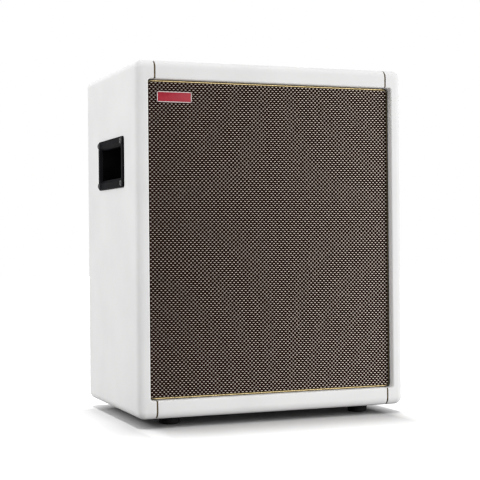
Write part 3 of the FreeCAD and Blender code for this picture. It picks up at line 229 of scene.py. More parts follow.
# %% Floor and world
def seen_directly(tree):
    """1 for rays from the camera, also by way of a mirror or glass, 0 for the rays that light other things."""
    path = tree.nodes.new("ShaderNodeLightPath")
    by_way = calc(tree, "MAXIMUM", path.outputs["Is Glossy Ray"], path.outputs["Is Transmission Ray"])
    return calc(tree, "MAXIMUM", path.outputs["Is Camera Ray"], by_way)


floor_span = 14
far_start, far_end, far_light = 0.03, 0.45, 0.6
left_start, left_full, left_turn, left_stop, left_light = -0.175, -0.203, -0.2, -0.215, 0.22
right_start, right_full, right_light = 0.172, 0.208, 0.5
back_start, back_full, back_light = 0.085, 0.125, 0.4

bpy.ops.object.select_all(action="DESELECT")
bpy.ops.mesh.primitive_plane_add(size=floor_span)
floor = bpy.context.object
floor.name = "studio_floor"

paper, tree, shader, place = new_material("white_paper", (0.88, 0.88, 0.88), 0.9)
seen = seen_directly(tree)
white = spread(tree, noise(tree, place, 3.0), 0.87, 0.89)
tree.links.new(calc(tree, "MULTIPLY", white, spread(tree, seen, 0.5, 1.0)), shader.inputs["Base Color"])
shader.inputs["Specular IOR Level"].default_value = 0.0
shader.inputs["Emission Color"].default_value = (1, 1, 1, 1)
x, y, z = axes(tree, place)
beside = calc(tree, "SUBTRACT", calc(tree, "ABSOLUTE", x), cad_high.x)
before = calc(tree, "SUBTRACT", calc(tree, "ABSOLUTE", y), cad_high.y)
away = ramp(tree, calc(tree, "MAXIMUM", beside, before), far_start, far_end, 0.0, far_light)
left_rise = ramp(tree, x, left_start, left_full, 0.0, left_light)
left_fall = ramp(tree, x, left_turn, left_stop, left_light, 0.0)
left_end = calc(tree, "MINIMUM", left_rise, left_fall)
right_end = ramp(tree, x, right_start, right_full, 0.0, right_light)
back_end = ramp(tree, y, back_start, back_full, 0.0, back_light)
ends = calc(tree, "ADD", calc(tree, "ADD", left_end, right_end), back_end)
own_light = calc(tree, "MAXIMUM", away, ends)
tree.links.new(calc(tree, "MULTIPLY", seen, own_light), shader.inputs["Emission Strength"])
floor.data.materials.append(paper)

room_light = 0.2
world = bpy.data.worlds.new("white_room")
bpy.context.scene.world = world
world.use_nodes = True
tree = world.node_tree
room = tree.nodes["Background"]
room.inputs["Color"].default_value = (1, 1, 1, 1)
tree.links.new(spread(tree, seen_directly(tree), room_light, 1.0), room.inputs["Strength"])
bpy.context.scene.view_settings.view_transform = "Standard"
bpy.context.scene.cycles.filter_width = 1.35
print("floor", tuple(round(v, 2) for v in floor.dimensions))

# %% [markdown]
# ## The lamps
# A Sun lamp from nearly straight above makes the floor white and casts the shadow a little to the front. It is linked
# to the floor alone, and a weaker and much softer one lights the cabinet's top. A large lamp high on the left lights
# the side, and another in front on the right lights the front, so the rounded edge between the two stays a little
# darker than both. They leave out the floor, because light this low would reach under the cabinet. A low white card in
# front makes up for the light that the shadow keeps from the lower front, and one more lamp behind shows the controls
# when the cabinet is turned.

# %% Lamps
softboxes = (
    ("left_softbox", (-2.3, -0.05, 1.4), (-0.2, 0.0, 0.3), (1.4, 1.4), 36.0),
    ("front_right_softbox", (2.5, -3.05, 0.7), (0.05, -0.1, 0.27), (1.4, 1.4), 107.0),
    ("rear_softbox", (1.0, 2.8, 1.1), (0.0, 0.1, 0.3), (1.2, 1.2), 16.0),
    ("white_card", (0.0, -0.205, 0.002), (0.0, -0.195, 0.27), (0.36, 0.13), 0.045),
)
sun_direction = Vector((0.0, -0.118, -1))

floor_only, all_but_floor = (bpy.data.collections.new(name) for name in ("floor_only", "all_but_floor"))
for receivers in (floor_only, all_but_floor):
    receivers.objects.link(floor)
all_but_floor.collection_objects[0].light_linking.link_state = "EXCLUDE"
for name, at, aim, (across, along), watts in softboxes:
    bpy.ops.object.light_add(type="AREA", location=at)
    lamp = bpy.context.object
    lamp.name = name
    lamp.data.shape = "RECTANGLE"
    lamp.data.size = across
    lamp.data.size_y = along
    lamp.data.energy = watts
    lamp.visible_camera = False
    lamp.light_linking.receiver_collection = all_but_floor
    lamp.rotation_euler = (Vector(aim) - Vector(at)).to_track_quat("-Z", "Y").to_euler()

suns = (("overhead_light", 1.4, 50, all_but_floor), ("floor_light", 3.2, 20, floor_only))
for name, strength, softness, receivers in suns:
    bpy.ops.object.light_add(type="SUN")
    lamp = bpy.context.object
    lamp.name = name
    lamp.data.energy = strength
    lamp.data.angle = math.radians(softness)
    lamp.light_linking.receiver_collection = receivers
    lamp.rotation_euler = sun_direction.to_track_quat("-Z", "Y").to_euler()
print(len(softboxes) + len(suns), "lamps")

# %% [markdown]
# ## White vinyl
# The covering is a sheet of vinyl with a fine embossed grain, glued over the wood. The grain could be displaced for
# real, but its pebbles are under a millimetre wide and a few hundredths deep, so a bump from rounded cells does it.
# Broad soft clouds keep the large faces from looking like paint.

# %% Vinyl
finishes = {}
pebble_scale, crease_scale, emboss_depth = 1100.0, 520.0, 0.00005

vinyl, tree, shader, place = new_material("white_vinyl", (0.82, 0.82, 0.82), 0.5)
shader.inputs["Specular IOR Level"].default_value = 0.06
clouds = noise(tree, place, 14.0)
grain = pebbles(tree, place, pebble_scale)
creases = noise(tree, place, crease_scale)
tree.links.new(blend(tree, clouds, (0.80, 0.80, 0.797), (0.84, 0.84, 0.836)), shader.inputs["Base Color"])
tree.links.new(spread(tree, grain, 0.42, 0.6), shader.inputs["Roughness"])
relief(tree, shader, calc(tree, "ADD", grain, calc(tree, "MULTIPLY", creases, 0.7)), emboss_depth)
finishes["vinyl"] = vinyl
print("vinyl grain of", round(1000 / pebble_scale, 2), "mm")

# %% [markdown]
# ## Wood and boards
# Plywood shows only in the narrow seams between the sheets of vinyl, and it is given a dark brown. The baffle, the
# back and the grille frame are boards under matt black paint that has a fine orange peel. Wood grain could come from
# a picture, but a noise stretched along the board needs none and has no seams.

# %% Boards
def timber(name, dark, light):
    """Wood with long grain along X and short pores across it."""
    material, tree, shader, place = new_material(name, light, 0.6)
    rings = noise(tree, stretched(tree, place, (6, 70, 90)), 3.0, 6.0)
    pores = noise(tree, stretched(tree, place, (40, 900, 900)), 1.0, 3.0)
    tree.links.new(blend(tree, rings, dark, light), shader.inputs["Base Color"])
    tree.links.new(spread(tree, pores, 0.5, 0.75), shader.inputs["Roughness"])
    relief(tree, shader, pores, 0.00008)
    return material


def painted(name, colour, roughness, peel):
    """Sprayed paint with a fine orange peel."""
    material, tree, shader, place = new_material(name, colour, roughness)
    shader.inputs["Specular IOR Level"].default_value = 0.15
    bumps = noise(tree, place, peel)
    dust = noise(tree, place, 35.0, 4.0)
    lighter = tuple(1.6 * c + 0.004 for c in colour)
    tree.links.new(blend(tree, dust, colour, lighter), shader.inputs["Base Color"])
    tree.links.new(spread(tree, bumps, roughness - 0.08, roughness + 0.12), shader.inputs["Roughness"])
    relief(tree, shader, bumps, 0.00006)
    return material


finishes["plywood"] = timber("dark_plywood", (0.045, 0.028, 0.009), (0.12, 0.08, 0.03))
finishes["black_board"] = painted("black_board_paint", (0.016, 0.016, 0.016), 0.55, 700.0)
finishes["chassis_black"] = painted("black_powder_coat", (0.014, 0.014, 0.015), 0.45, 1500.0)
finishes["basket_steel"] = painted("black_basket_paint", (0.020, 0.020, 0.021), 0.4, 500.0)
print(sorted(finishes))

# %% [markdown]
# ## Moulded plastic and rubber
# Moulded pieces carry the grain of their mould. The handle is a dark satin plastic with a fine spark-eroded texture,
# the feet are matt rubber, and the controls are smoother. One recipe with a grain size, a depth and a shine makes all
# of them.

# %% Plastic and rubber
def moulded(name, colour, roughness, grain, depth, mirror=0.2):
    """Moulded surface with a fine grain and slight cloudiness."""
    material, tree, shader, place = new_material(name, colour, roughness)
    shader.inputs["Specular IOR Level"].default_value = mirror
    texture = noise(tree, place, grain, 3.0)
    clouds = noise(tree, place, 60.0, 3.0)
    lighter = tuple(1.35 * c + 0.003 for c in colour)
    tree.links.new(blend(tree, clouds, colour, lighter), shader.inputs["Base Color"])
    tree.links.new(spread(tree, texture, roughness - 0.1, roughness + 0.12), shader.inputs["Roughness"])
    relief(tree, shader, texture, depth)
    return material


finishes["handle_plastic"] = moulded("satin_handle_plastic", (0.005, 0.005, 0.006), 0.42, 1800.0, 0.00003, 0.004)
finishes["foot_rubber"] = moulded("matt_foot_rubber", (0.004, 0.004, 0.004), 0.7, 900.0, 0.00005, 0.1)
finishes["control_plastic"] = moulded("black_control_plastic", (0.014, 0.014, 0.015), 0.38, 2500.0, 0.00001)
finishes["horn_plastic"] = moulded("matt_horn_plastic", (0.016, 0.016, 0.016), 0.55, 1500.0, 0.00002)
finishes["gasket_foam"] = moulded("gasket_foam", (0.020, 0.020, 0.020), 0.85, 700.0, 0.0002)
finishes["supply_dark"] = moulded("supply_lacquer", (0.040, 0.040, 0.050), 0.4, 400.0, 0.00003)
finishes["wire_jacket"] = moulded("red_wire_jacket", (0.30, 0.015, 0.015), 0.4, 2500.0, 0.00001)
finishes["circuit_green"] = moulded("green_solder_mask", (0.015, 0.15, 0.05), 0.3, 300.0, 0.00002)
print(len(finishes), "finishes")

# %% [markdown]
# ## Metal
# Screws, nuts and the parts of the loudspeaker are metal with fine streaks from rolling or turning. A noise that is
# squeezed along one axis draws the streaks, and they change the shine more than the colour.

# %% Metals
def metal(name, colour, roughness, streak=(60, 1500, 1500)):
    """Rolled or turned metal with fine streaks."""
    material, tree, shader, place = new_material(name, colour, roughness, 1.0)
    streaks = noise(tree, stretched(tree, place, streak), 1.0, 4.0)
    stain = noise(tree, place, 90.0, 3.0)
    darker = tuple(0.8 * c for c in colour)
    tree.links.new(blend(tree, stain, darker, colour), shader.inputs["Base Color"])
    tree.links.new(spread(tree, streaks, roughness - 0.1, roughness + 0.15), shader.inputs["Roughness"])
    relief(tree, shader, streaks, 0.00001)
    return material


finishes["black_screw"] = metal("black_oxide", (0.045, 0.045, 0.047), 0.4)
finishes["zinc_screw"] = metal("zinc_plate", (0.62, 0.63, 0.64), 0.35)
finishes["plate_steel"] = metal("turned_steel", (0.50, 0.50, 0.51), 0.4)
finishes["ferrite"] = moulded("ferrite", (0.045, 0.045, 0.047), 0.6, 1200.0, 0.00006)
finishes["terminal_brass"] = metal("tinned_brass", (0.66, 0.56, 0.34), 0.35)
finishes["coil_copper"] = metal("copper_winding", (0.72, 0.36, 0.20), 0.35, (3000, 60, 3000))
finishes["driver_metal"] = painted("grey_cast_metal", (0.050, 0.050, 0.053), 0.45, 400.0)
finishes["zinc_sheet"] = metal("zinc_sheet", (0.58, 0.59, 0.60), 0.42, (400, 20, 20))
finishes["spacer_brass"] = metal("brass", (0.70, 0.55, 0.26), 0.3)
finishes["sink_aluminium"] = metal("extruded_aluminium", (0.66, 0.66, 0.67), 0.4, (1500, 1500, 30))
finishes["switch_metal"] = metal("pressed_steel", (0.56, 0.56, 0.57), 0.35)
finishes["nut_nickel"] = metal("nickel_plate", (0.70, 0.69, 0.66), 0.2)
print(len(finishes), "finishes")

# %% [markdown]
# ## Cloth and paper
# The grille cloth has dark threads up and down and bright threads across that lie on top in short floats. The floats
# are modelled further on, so here the ground only needs its dark ribs. The other soft pieces are treated cloth, felted
# paper and hook tape.

# %% Cloth and paper
cloth_low, cloth_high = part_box("grille_cloth")
cloth_middle = (cloth_low + cloth_high) / 2
cloth_size = cloth_high - cloth_low
yarn_count, row_count = 126, 152
yarn_pitch, float_row = cloth_size.x / yarn_count, cloth_size.z / row_count
edge_thread, spider_thread = 0.0012, 0.0010


def ribbed(name, groove, rib, pitch_x, pitch_z, depth, roughness=0.85):
    """Cloth of crossing threads at real pitches."""
    material, tree, shader, place = new_material(name, rib, roughness)
    shader.inputs["Specular IOR Level"].default_value = 0.05
    x, y, z = axes(tree, place)
    warp = calc(tree, "SINE", calc(tree, "MULTIPLY", x, 2 * math.pi / pitch_x))
    weft = calc(tree, "SINE", calc(tree, "MULTIPLY", z, 2 * math.pi / pitch_z))
    threads = calc(tree, "MULTIPLY_ADD", calc(tree, "ADD", warp, weft), 0.25, 0.5)
    fuzz = noise(tree, place, 3000.0, 2.0)
    height = calc(tree, "ADD", threads, calc(tree, "MULTIPLY", fuzz, 0.3))
    tree.links.new(blend(tree, height, groove, rib, 0.4, 1.0), shader.inputs["Base Color"])
    tree.links.new(spread(tree, fuzz, roughness - 0.1, 1.0), shader.inputs["Roughness"])
    relief(tree, shader, height, depth)
    return material


def felted(name, colour, fibre, depth):
    """Paper or felt with short fibres."""
    material, tree, shader, place = new_material(name, colour, 0.85)
    fibres = noise(tree, stretched(tree, place, (fibre, fibre / 4, fibre)), 1.0, 4.0)
    lighter = tuple(1.8 * c + 0.004 for c in colour)
    tree.links.new(blend(tree, fibres, colour, lighter), shader.inputs["Base Color"])
    tree.links.new(spread(tree, fibres, 0.75, 0.95), shader.inputs["Roughness"])
    relief(tree, shader, fibres, depth)
    return material


finishes["grille_cloth"] = ribbed(
    "dark_grille_ground", (0.006, 0.002, 0.0015), (0.024, 0.011, 0.006), yarn_pitch, float_row, 0.0003
)
finishes["surround_cloth"] = ribbed(
    "coated_edge_cloth", (0.010, 0.010, 0.010), (0.03, 0.03, 0.03), edge_thread, edge_thread, 0.0001
)
finishes["spider_cloth"] = ribbed(
    "resin_cloth", (0.40, 0.27, 0.09), (0.62, 0.46, 0.20), spider_thread, spider_thread, 0.0001
)
finishes["cone_paper"] = felted("felted_cone_paper", (0.030, 0.029, 0.028), 700.0, 0.0001)
finishes["hook_tape"] = felted("hook_tape", (0.012, 0.012, 0.012), 1500.0, 0.0003)
print("yarn pitch", round(1000 * yarn_pitch, 3), "mm, row", round(1000 * float_row, 3), "mm")

# %% [markdown]
# ## Gold piping, badge and yarn
# The piping is a cord of gold thread, so slanting lines wind round it. Its upright runs lie in the recess's shade,
# which is painted into their colour as brown. The badge is a red plate with a pale rim, both with a soft shine and
# left bare. The bright yarn of the grille is a bundle of fine fibres that run across, and a sheen is painted into its
# colour that grows brighter the more slantwise it is seen.

# %% Gold, badge and yarn
twist_pitch = 0.0016
lit_to, painted_shade_from, painted_shade_share = 0.178, 0.185, 0.12
sheen_start, sheen_full, sheen_low, sheen_high = 0.04, 0.115, 0.64, 1.26

piping_gold, tree, shader, place = new_material("gold_thread", (0.55, 0.43, 0.20), 0.4)
x, y, z = axes(tree, place)
along = calc(tree, "ADD", calc(tree, "ADD", x, z), y)
lay = calc(tree, "SINE", calc(tree, "MULTIPLY", along, 2 * math.pi / twist_pitch))
fibre = noise(tree, place, 2500.0)
strand = calc(tree, "MULTIPLY_ADD", lay, 0.35, 0.5)
height = calc(tree, "ADD", strand, calc(tree, "MULTIPLY", fibre, 0.4))
gold = blend(tree, height, (0.10, 0.065, 0.02), (0.62, 0.50, 0.27), 0.35, 1.0)
# Painted shade: the upright runs' colour is darkened, standing for the recess's shade.
shade = ramp(tree, calc(tree, "ABSOLUTE", x), lit_to, painted_shade_from, 1.0, painted_shade_share)
tree.links.new(scaled(tree, gold, shade), shader.inputs["Base Color"])
tree.links.new(spread(tree, fibre, 0.3, 0.5), shader.inputs["Roughness"])
shader.inputs["Metallic"].default_value = 0.85
relief(tree, shader, height, 0.00015)
finishes["gold_piping"] = piping_gold


def enamelled(name, dark, light, roughness):
    """Glossy lacquer with a faint flow in it."""
    material, tree, shader, place = new_material(name, light, roughness)
    shader.inputs["Specular IOR Level"].default_value = 0.12
    flow = noise(tree, place, 220.0, 3.0)
    tree.links.new(blend(tree, flow, dark, light), shader.inputs["Base Color"])
    tree.links.new(spread(tree, flow, roughness - 0.06, roughness + 0.1), shader.inputs["Roughness"])
    relief(tree, shader, flow, 0.00002)
    return material


finishes["badge_red"] = enamelled("red_badge_lacquer", (0.34, 0.020, 0.036), (0.42, 0.028, 0.048), 0.45)
finishes["badge_pale"] = enamelled("pale_badge_rim", (0.62, 0.50, 0.50), (0.74, 0.63, 0.62), 0.45)

silver_yarn, tree, shader, place = new_material("silver_yarn", (0.60, 0.53, 0.48), 0.5, 0.05)
shader.inputs["Specular IOR Level"].default_value = 0.1
fibres = noise(tree, stretched(tree, place, (700, 5000, 5000)), 1.0, 3.0)
silver = blend(tree, fibres, (0.48, 0.415, 0.365), (0.77, 0.68, 0.61))
# Painted sheen: the yarn's colour is made brighter the more slantwise the camera sees it.
view = tree.nodes.new("ShaderNodeNewGeometry").outputs["Incoming"]
slant = calc(tree, "SUBTRACT", 1.0, calc(tree, "ABSOLUTE", axes(tree, view)[1]))
sheen = ramp(tree, slant, sheen_start, sheen_full, sheen_low, sheen_high)
tree.links.new(scaled(tree, silver, sheen), shader.inputs["Base Color"])
tree.links.new(spread(tree, fibres, 0.4, 0.6), shader.inputs["Roughness"])
relief(tree, shader, fibres, 0.00002)
print(len(finishes), "finishes for", len(set(slot_of.values())), "slots")

# %% [markdown]
# ## Finish on every solid
# Finishes could be put on piece by piece, but each solid's record says which one it takes, so one loop does it.

# %% Put the finishes on the solids
for name, solid in solids.items():
    solid.data.materials.clear()
    solid.data.materials.append(finishes[slot_of[name]])
print("finished", len(solids), "solids")

# %% [markdown]
# ## Smooth curves
# The solids come as loose triangles, so a rounded edge shows its facets. A copy with its points merged can shade
# smoothly wherever two faces meet at a small angle. Large flat faces must keep their own normal right up to a rounded
# edge, and the Weighted Normal modifier sees to that.

# %% Smooth copies of the curved solids
merge_distance = 0.000002
smooth_angle, bevel_angle = math.radians(32), math.radians(35)


def only(piece):
    """Makes this the one selected object."""
    bpy.ops.object.select_all(action="DESELECT")
    piece.select_set(True)
    bpy.context.view_layer.objects.active = piece


def smooth_copy(name):
    """Shows a merged, smoothly shaded copy in a solid's place."""
    solid = solids[name]
    piece = bpy.data.objects.new(name + ".smooth", solid.data.copy())
    bpy.context.scene.collection.objects.link(piece)
    only(piece)
    bpy.ops.mesh.customdata_custom_splitnormals_clear()
    bpy.ops.object.mode_set(mode="EDIT")
    bpy.ops.mesh.select_all(action="SELECT")
    bpy.ops.mesh.remove_doubles(threshold=merge_distance)
    bpy.ops.object.mode_set(mode="OBJECT")
    bpy.ops.object.shade_smooth_by_angle(angle=smooth_angle)
    even = piece.modifiers.new("even_shading", "WEIGHTED_NORMAL")
    even.keep_sharp = True
    bpy.ops.object.modifier_apply(modifier=even.name)
    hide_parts(name)
    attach(piece, solid["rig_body"])


modelled_here = {
    "grille_cloth", "badge_plate", "badge_border", "handle_screws", "back_panel_screws", "amp_chassis_screws",
}
flat_solids = {
    "baffle_cleats", "back_cleats", "grille_pads", "amp_board", "heat_sink", "woofer_terminals", "left_side_panel",
    "right_side_panel", "top_panel", "bottom_panel", "top_front_rail", "bottom_front_rail", "baffle_board",
    "grille_frame",
}
curved = [name for name in solids if name not in modelled_here | flat_solids]
for name in curved:
    smooth_copy(name)
print(len(curved), "solids smoothed")

# %% [markdown]
# ## Grille cloth
# The cloth is stretched flat over its frame and turned round the edge. A plane at the cloth's size gets round corners
# from a bevel on its four points, then an extrusion gives it the thickness of its dark ground, and a second bevel
# turns the front edge over. The bright floats lie on top of it, so the ground sits a little behind the cloth's face.

# %% Dark ground of the cloth
float_rise = 0.0005
cloth_corner, cloth_fold = 0.004, 0.0003
facing = 0.9


def select_faces(piece, wanted):
    """Selects only the faces whose normal passes a test, in edit mode."""
    bpy.ops.object.mode_set(mode="EDIT")
    bpy.ops.mesh.select_mode(type="FACE")
    bpy.ops.mesh.select_all(action="DESELECT")
    bpy.ops.object.mode_set(mode="OBJECT")
    for face in piece.data.polygons:
        face.select = bool(wanted(face.normal))
    bpy.ops.object.mode_set(mode="EDIT")


bpy.ops.object.select_all(action="DESELECT")
bpy.ops.mesh.primitive_plane_add(
    size=1, location=(cloth_middle.x, cloth_low.y + float_rise, cloth_middle.z), rotation=(math.pi / 2, 0, 0)
)
cloth = bpy.context.object
cloth.name = "grille_cloth_ground"
cloth.scale = (cloth_size.x, cloth_size.z, 1)
bpy.ops.object.transform_apply(location=True, rotation=True, scale=True)
bpy.ops.object.mode_set(mode="EDIT")
bpy.ops.mesh.select_all(action="SELECT")
bpy.ops.mesh.bevel(affect="VERTICES", offset=cloth_corner, segments=4)
bpy.ops.mesh.extrude_region_move(TRANSFORM_OT_translate={"value": (0, cloth_size.y - float_rise, 0)})
bpy.ops.mesh.select_all(action="SELECT")
bpy.ops.mesh.normals_make_consistent(inside=False)
select_faces(cloth, lambda normal: normal.y < -facing)
bpy.ops.mesh.bevel(affect="EDGES", offset=cloth_fold, segments=2)
bpy.ops.object.mode_set(mode="OBJECT")
cloth.data.materials.append(finishes["grille_cloth"])
print("cloth", [round(1000 * v, 1) for v in cloth.dimensions], "mm,", len(cloth.data.polygons), "faces")

# %% [markdown]
# Each float is a short length of bright yarn that comes over one dark thread and goes under the next. Modelled whole,
# the yarns would need far too many faces, and only the floats show. One float is a flat cube whose front face is drawn
# in twice, like a loaf. A second one half a step on starts the next row, and two Array modifiers fill the grille.

# %% Bright floats
float_length, float_width = 0.0028, 0.0011
shoulder = 0.6 * float_rise
shoulder_draw, crown_draw = (0.92, 1, 0.88), (0.75, 1, 0.65)
columns, row_pairs = yarn_count // 2, row_count // 2
float_pitch = 2 * yarn_pitch

bpy.ops.object.select_all(action="DESELECT")
bpy.ops.mesh.primitive_cube_add(
    size=1,
    location=(
        cloth_low.x + float_pitch / 4,
        cloth_low.y + float_rise - shoulder / 2,
        cloth_low.z + float_row / 2,
    ),
)
yarn = bpy.context.object
yarn.name = "grille_cloth_floats"
yarn.scale = (float_length, shoulder, float_width)
bpy.ops.object.transform_apply(location=True, rotation=True, scale=True)
select_faces(yarn, lambda normal: normal.y > facing)
bpy.ops.mesh.delete(type="FACE")
select_faces(yarn, lambda normal: normal.y < -facing)
bpy.ops.transform.resize(value=shoulder_draw)
bpy.ops.mesh.extrude_region_move(TRANSFORM_OT_translate={"value": (0, shoulder - float_rise, 0)})
bpy.ops.transform.resize(value=crown_draw)
bpy.ops.mesh.select_all(action="SELECT")
bpy.ops.mesh.duplicate_move(TRANSFORM_OT_translate={"value": (float_pitch / 2, 0, float_row)})
bpy.ops.object.mode_set(mode="OBJECT")
bpy.ops.object.shade_smooth()
for name, count, step in (
    ("along_the_row", columns, (float_pitch, 0, 0)),
    ("up_the_cloth", row_pairs, (0, 0, 2 * float_row)),
):
    array = yarn.modifiers.new(name, "ARRAY")
    array.count = count
    array.use_relative_offset = False
    array.use_constant_offset = True
    array.constant_offset_displace = step
    bpy.ops.object.modifier_apply(modifier=name)
yarn.data.materials.append(silver_yarn)
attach(yarn, "cabinet")
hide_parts("grille_cloth")
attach(cloth, "cabinet")
print(columns * row_pairs * 2, "floats,", len(yarn.data.polygons), "faces")

# %% [markdown]
# ## Badge
# The badge is a small lacquered plate in a raised rim. Both start as a cube at the plate's size. Bevels round the
# corners and soften the front edge, and the rim is opened by an inset on both faces, whose inner edges are bridged.

# %% Badge
plate_corner, rim_corner, rim_width, front_edge = 0.0006, 0.0018, 0.0012, 0.0003


def corner_edges(piece):
    """Selects the edges of a cube that run front to back."""
    bpy.ops.object.mode_set(mode="OBJECT")
    points = piece.data.vertices
    for edge in piece.data.edges:
        run = points[edge.vertices[1]].co - points[edge.vertices[0]].co
        edge.select = abs(run.y) > facing * run.length
    bpy.ops.object.mode_set(mode="EDIT")


def round_slab(name, node, radius):
    """A cube in a solid's box with its four upright corners rounded, left in edit mode."""
    low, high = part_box(node)
    bpy.ops.object.select_all(action="DESELECT")
    bpy.ops.mesh.primitive_cube_add(size=1, location=(low + high) / 2)
    piece = bpy.context.object
    piece.name = name
    piece.scale = high - low
    bpy.ops.object.transform_apply(location=True, rotation=True, scale=True)
    bpy.ops.object.mode_set(mode="EDIT")
    bpy.ops.mesh.select_mode(type="EDGE")
    bpy.ops.mesh.select_all(action="DESELECT")
    corner_edges(piece)
    bpy.ops.mesh.bevel(affect="EDGES", offset=radius, segments=5)
    bpy.ops.mesh.select_mode(type="FACE")
    return piece


def shown_for(piece, node):
    """Puts a modelled piece in a solid's place with that solid's finish."""
    bpy.ops.object.mode_set(mode="OBJECT")
    bpy.ops.object.shade_smooth_by_angle(angle=bevel_angle)
    piece.data.materials.append(finishes[slot_of[node]])
    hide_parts(node)
    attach(piece, "cabinet")


badge_face = round_slab("badge_face", "badge_plate", plate_corner)
select_faces(badge_face, lambda normal: normal.y < -facing)
bpy.ops.mesh.bevel(affect="EDGES", offset=front_edge, segments=2)
shown_for(badge_face, "badge_plate")

badge_rim = round_slab("badge_rim", "badge_border", rim_corner)
select_faces(badge_rim, lambda normal: abs(normal.y) > facing)
bpy.ops.mesh.inset(thickness=rim_width)
bpy.ops.mesh.bridge_edge_loops()
select_faces(badge_rim, lambda normal: normal.y < -facing)
bpy.ops.mesh.bevel(affect="EDGES", offset=front_edge, segments=2)
bpy.ops.mesh.select_all(action="SELECT")
bpy.ops.mesh.normals_make_consistent(inside=False)
shown_for(badge_rim, "badge_border")
print("badge", [round(1000 * v, 1) for v in badge_rim.dimensions], "mm")

# %% [markdown]
# ## Pointer of the volume knob
# The knob has a groove that points to its setting, and the groove is filled with white paint. The paint is a slab just
# under the knob's face, with its edges bevelled so that it looks poured. It turns with the knob.

# %% Pointer paint
knob_low, knob_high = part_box("volume_knob")
knob_middle = (knob_low + knob_high) / 2
groove_start, groove_end, paint_width = 0.0046, 0.0092, 0.0011
paint_sunk, paint_depth, paint_edge = 0.0001, 0.0006, 0.0002
paint_middle = knob_high.y - paint_sunk - paint_depth / 2

bpy.ops.object.select_all(action="DESELECT")
bpy.ops.mesh.primitive_cube_add(
    size=1,
    location=(knob_middle.x, paint_middle, knob_middle.z + (groove_start + groove_end) / 2),
)
pointer = bpy.context.object
pointer.name = "volume_knob_pointer"
pointer.scale = (paint_width, paint_depth, groove_end - groove_start)
bpy.ops.object.transform_apply(location=True, rotation=True, scale=True)
select_faces(pointer, lambda normal: normal.y > facing)
bpy.ops.mesh.bevel(affect="EDGES", offset=paint_edge, segments=3)
bpy.ops.object.mode_set(mode="OBJECT")
bpy.ops.object.shade_smooth_by_angle(angle=bevel_angle)
pointer.data.materials.append(enamelled("white_pointer_paint", (0.62, 0.62, 0.60), (0.72, 0.72, 0.70), 0.5))
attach(pointer, "knob")
print("pointer", [round(1000 * v, 2) for v in pointer.dimensions], "mm")

# %% [markdown]
# ## Screws
# The handles, the back panel and the amplifier's chassis are held by screws with domed heads and cross recesses. One
# head is modelled for each size: a cylinder whose top edge is bevelled into a dome, a narrower shank drawn out of its
# bottom, and a Boolean with two crossed bars for the recess. The heads are then copied to their places.

# %% Cross-headed screws
head_sides = 28
dome_share, bar_length_share, bar_width_share, bar_taper = 0.62, 1.05, 0.26, 0.55
twist_step = 0.7
flange_inset, back_inset, dish_inset = 0.0065, 0.008, 0.006
backward = Vector((0, 1, 0))


def cross_screw(name, head_radius, head_height, shank_radius, shank_length):
    """One screw that stands on the origin with its head up along Z."""
    bpy.ops.object.select_all(action="DESELECT")
    bpy.ops.mesh.primitive_cylinder_add(
        vertices=head_sides, radius=head_radius, depth=head_height, location=(0, 0, head_height / 2)
    )
    head = bpy.context.object
    head.name = name
    bpy.ops.object.transform_apply(location=True, rotation=True, scale=True)
    select_faces(head, lambda normal: normal.z < -facing)
    bpy.ops.mesh.inset(thickness=head_radius - shank_radius)
    bpy.ops.mesh.extrude_region_move(TRANSFORM_OT_translate={"value": (0, 0, -shank_length)})
    select_faces(head, lambda normal: normal.z > facing)
    bpy.ops.mesh.bevel(affect="EDGES", offset=dome_share * head_height, segments=4)
    bpy.ops.object.mode_set(mode="OBJECT")
    bar_length, bar_width = bar_length_share * head_radius, bar_width_share * head_radius
    for size in ((bar_length, bar_width, head_height), (bar_width, bar_length, head_height)):
        bpy.ops.object.select_all(action="DESELECT")
        bpy.ops.mesh.primitive_cube_add(size=1, location=(0, 0, head_height))
        bar = bpy.context.object
        bar.scale = size
        bpy.ops.object.transform_apply(location=True, rotation=True, scale=True)
        select_faces(bar, lambda normal: normal.z < -facing)
        bpy.ops.transform.resize(value=(bar_taper, bar_taper, 1))
        bpy.ops.object.mode_set(mode="OBJECT")
        only(head)
        cut = head.modifiers.new("recess", "BOOLEAN")
        cut.operation = "DIFFERENCE"
        cut.solver = "EXACT"
        cut.object = bar
        bpy.ops.object.modifier_apply(modifier="recess")
        bpy.data.objects.remove(bar)
    only(head)
    return head


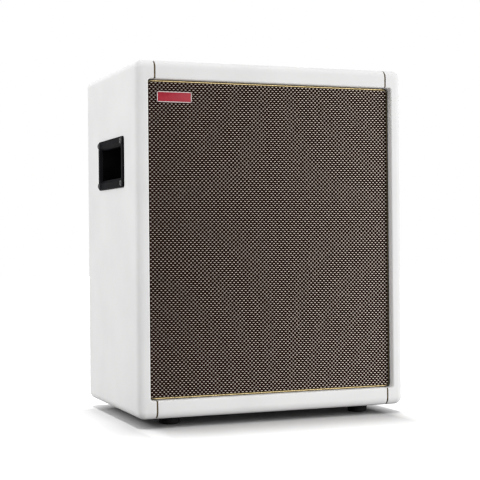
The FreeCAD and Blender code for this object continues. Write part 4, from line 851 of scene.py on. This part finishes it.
def set_screws(node, screw, places):
    """Copies a screw to places, each a seat and the direction its head points, and joins the copies."""
    copies = []
    for k, (seat, out) in enumerate(places):
        copy = bpy.data.objects.new(f"{node}.{k}", screw.data.copy())
        bpy.context.scene.collection.objects.link(copy)
        twist = Matrix.Rotation(twist_step * k, 4, "Z")
        copy.data.transform(Matrix.Translation(seat) @ out.to_track_quat("Z", "Y").to_matrix().to_4x4() @ twist)
        copies.append(copy)
    bpy.ops.object.select_all(action="DESELECT")
    for copy in copies:
        copy.select_set(True)
    bpy.context.view_layer.objects.active = copies[0]
    bpy.ops.object.join()
    piece = bpy.context.object
    piece.name = node + ".cross"
    bpy.data.objects.remove(screw)
    shown_for(piece, node)


handle_low, handle_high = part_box("handle_right")
flange_y = (handle_low.y + flange_inset, handle_high.y - flange_inset)
flange_z = (handle_low.z + flange_inset, handle_high.z - flange_inset)
handle_places = [
    (Vector((side * handle_high.x, y, z)), Vector((side, 0, 0)))
    for side in (-1, 1) for y in flange_y for z in flange_z
]
handle_screw = cross_screw(
    "handle_screw", head_radius=0.0042, head_height=0.0022, shank_radius=0.0018, shank_length=0.0145
)
set_screws("handle_screws", handle_screw, handle_places)

back_low, back_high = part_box("back_panel")
back_face = back_high.y
back_x, back_z = back_high.x - back_inset, (back_high.z - back_low.z) / 2 - back_inset
back_middle = (back_low.z + back_high.z) / 2
back_places = [
    (Vector((side * back_x, back_face, back_middle + share * back_z)), backward)
    for share in (-1, -1 / 3, 1 / 3, 1) for side in (-1, 1)
]
back_places += [(Vector((0, back_face, back_middle + side * back_z)), backward) for side in (-1, 1)]
back_screw = cross_screw("back_screw", head_radius=0.004, head_height=0.0024, shank_radius=0.002, shank_length=0.026)
set_screws("back_panel_screws", back_screw, back_places)

dish_low, dish_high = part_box("amp_chassis")
dish_middle = (dish_low + dish_high) / 2
dish_x, dish_z = dish_high.x - dish_inset, dish_high.z - dish_middle.z - dish_inset
dish_places = [
    (Vector((share * dish_x, dish_high.y, dish_middle.z + side * dish_z)), backward)
    for share in (-1, -1 / 3, 1 / 3, 1) for side in (-1, 1)
]
chassis_screw = cross_screw(
    "chassis_screw", head_radius=0.0032, head_height=0.0019, shank_radius=0.0016, shank_length=0.0105
)
set_screws("amp_chassis_screws", chassis_screw, dish_places)
print(len(handle_places) + len(back_places) + len(dish_places), "screws")
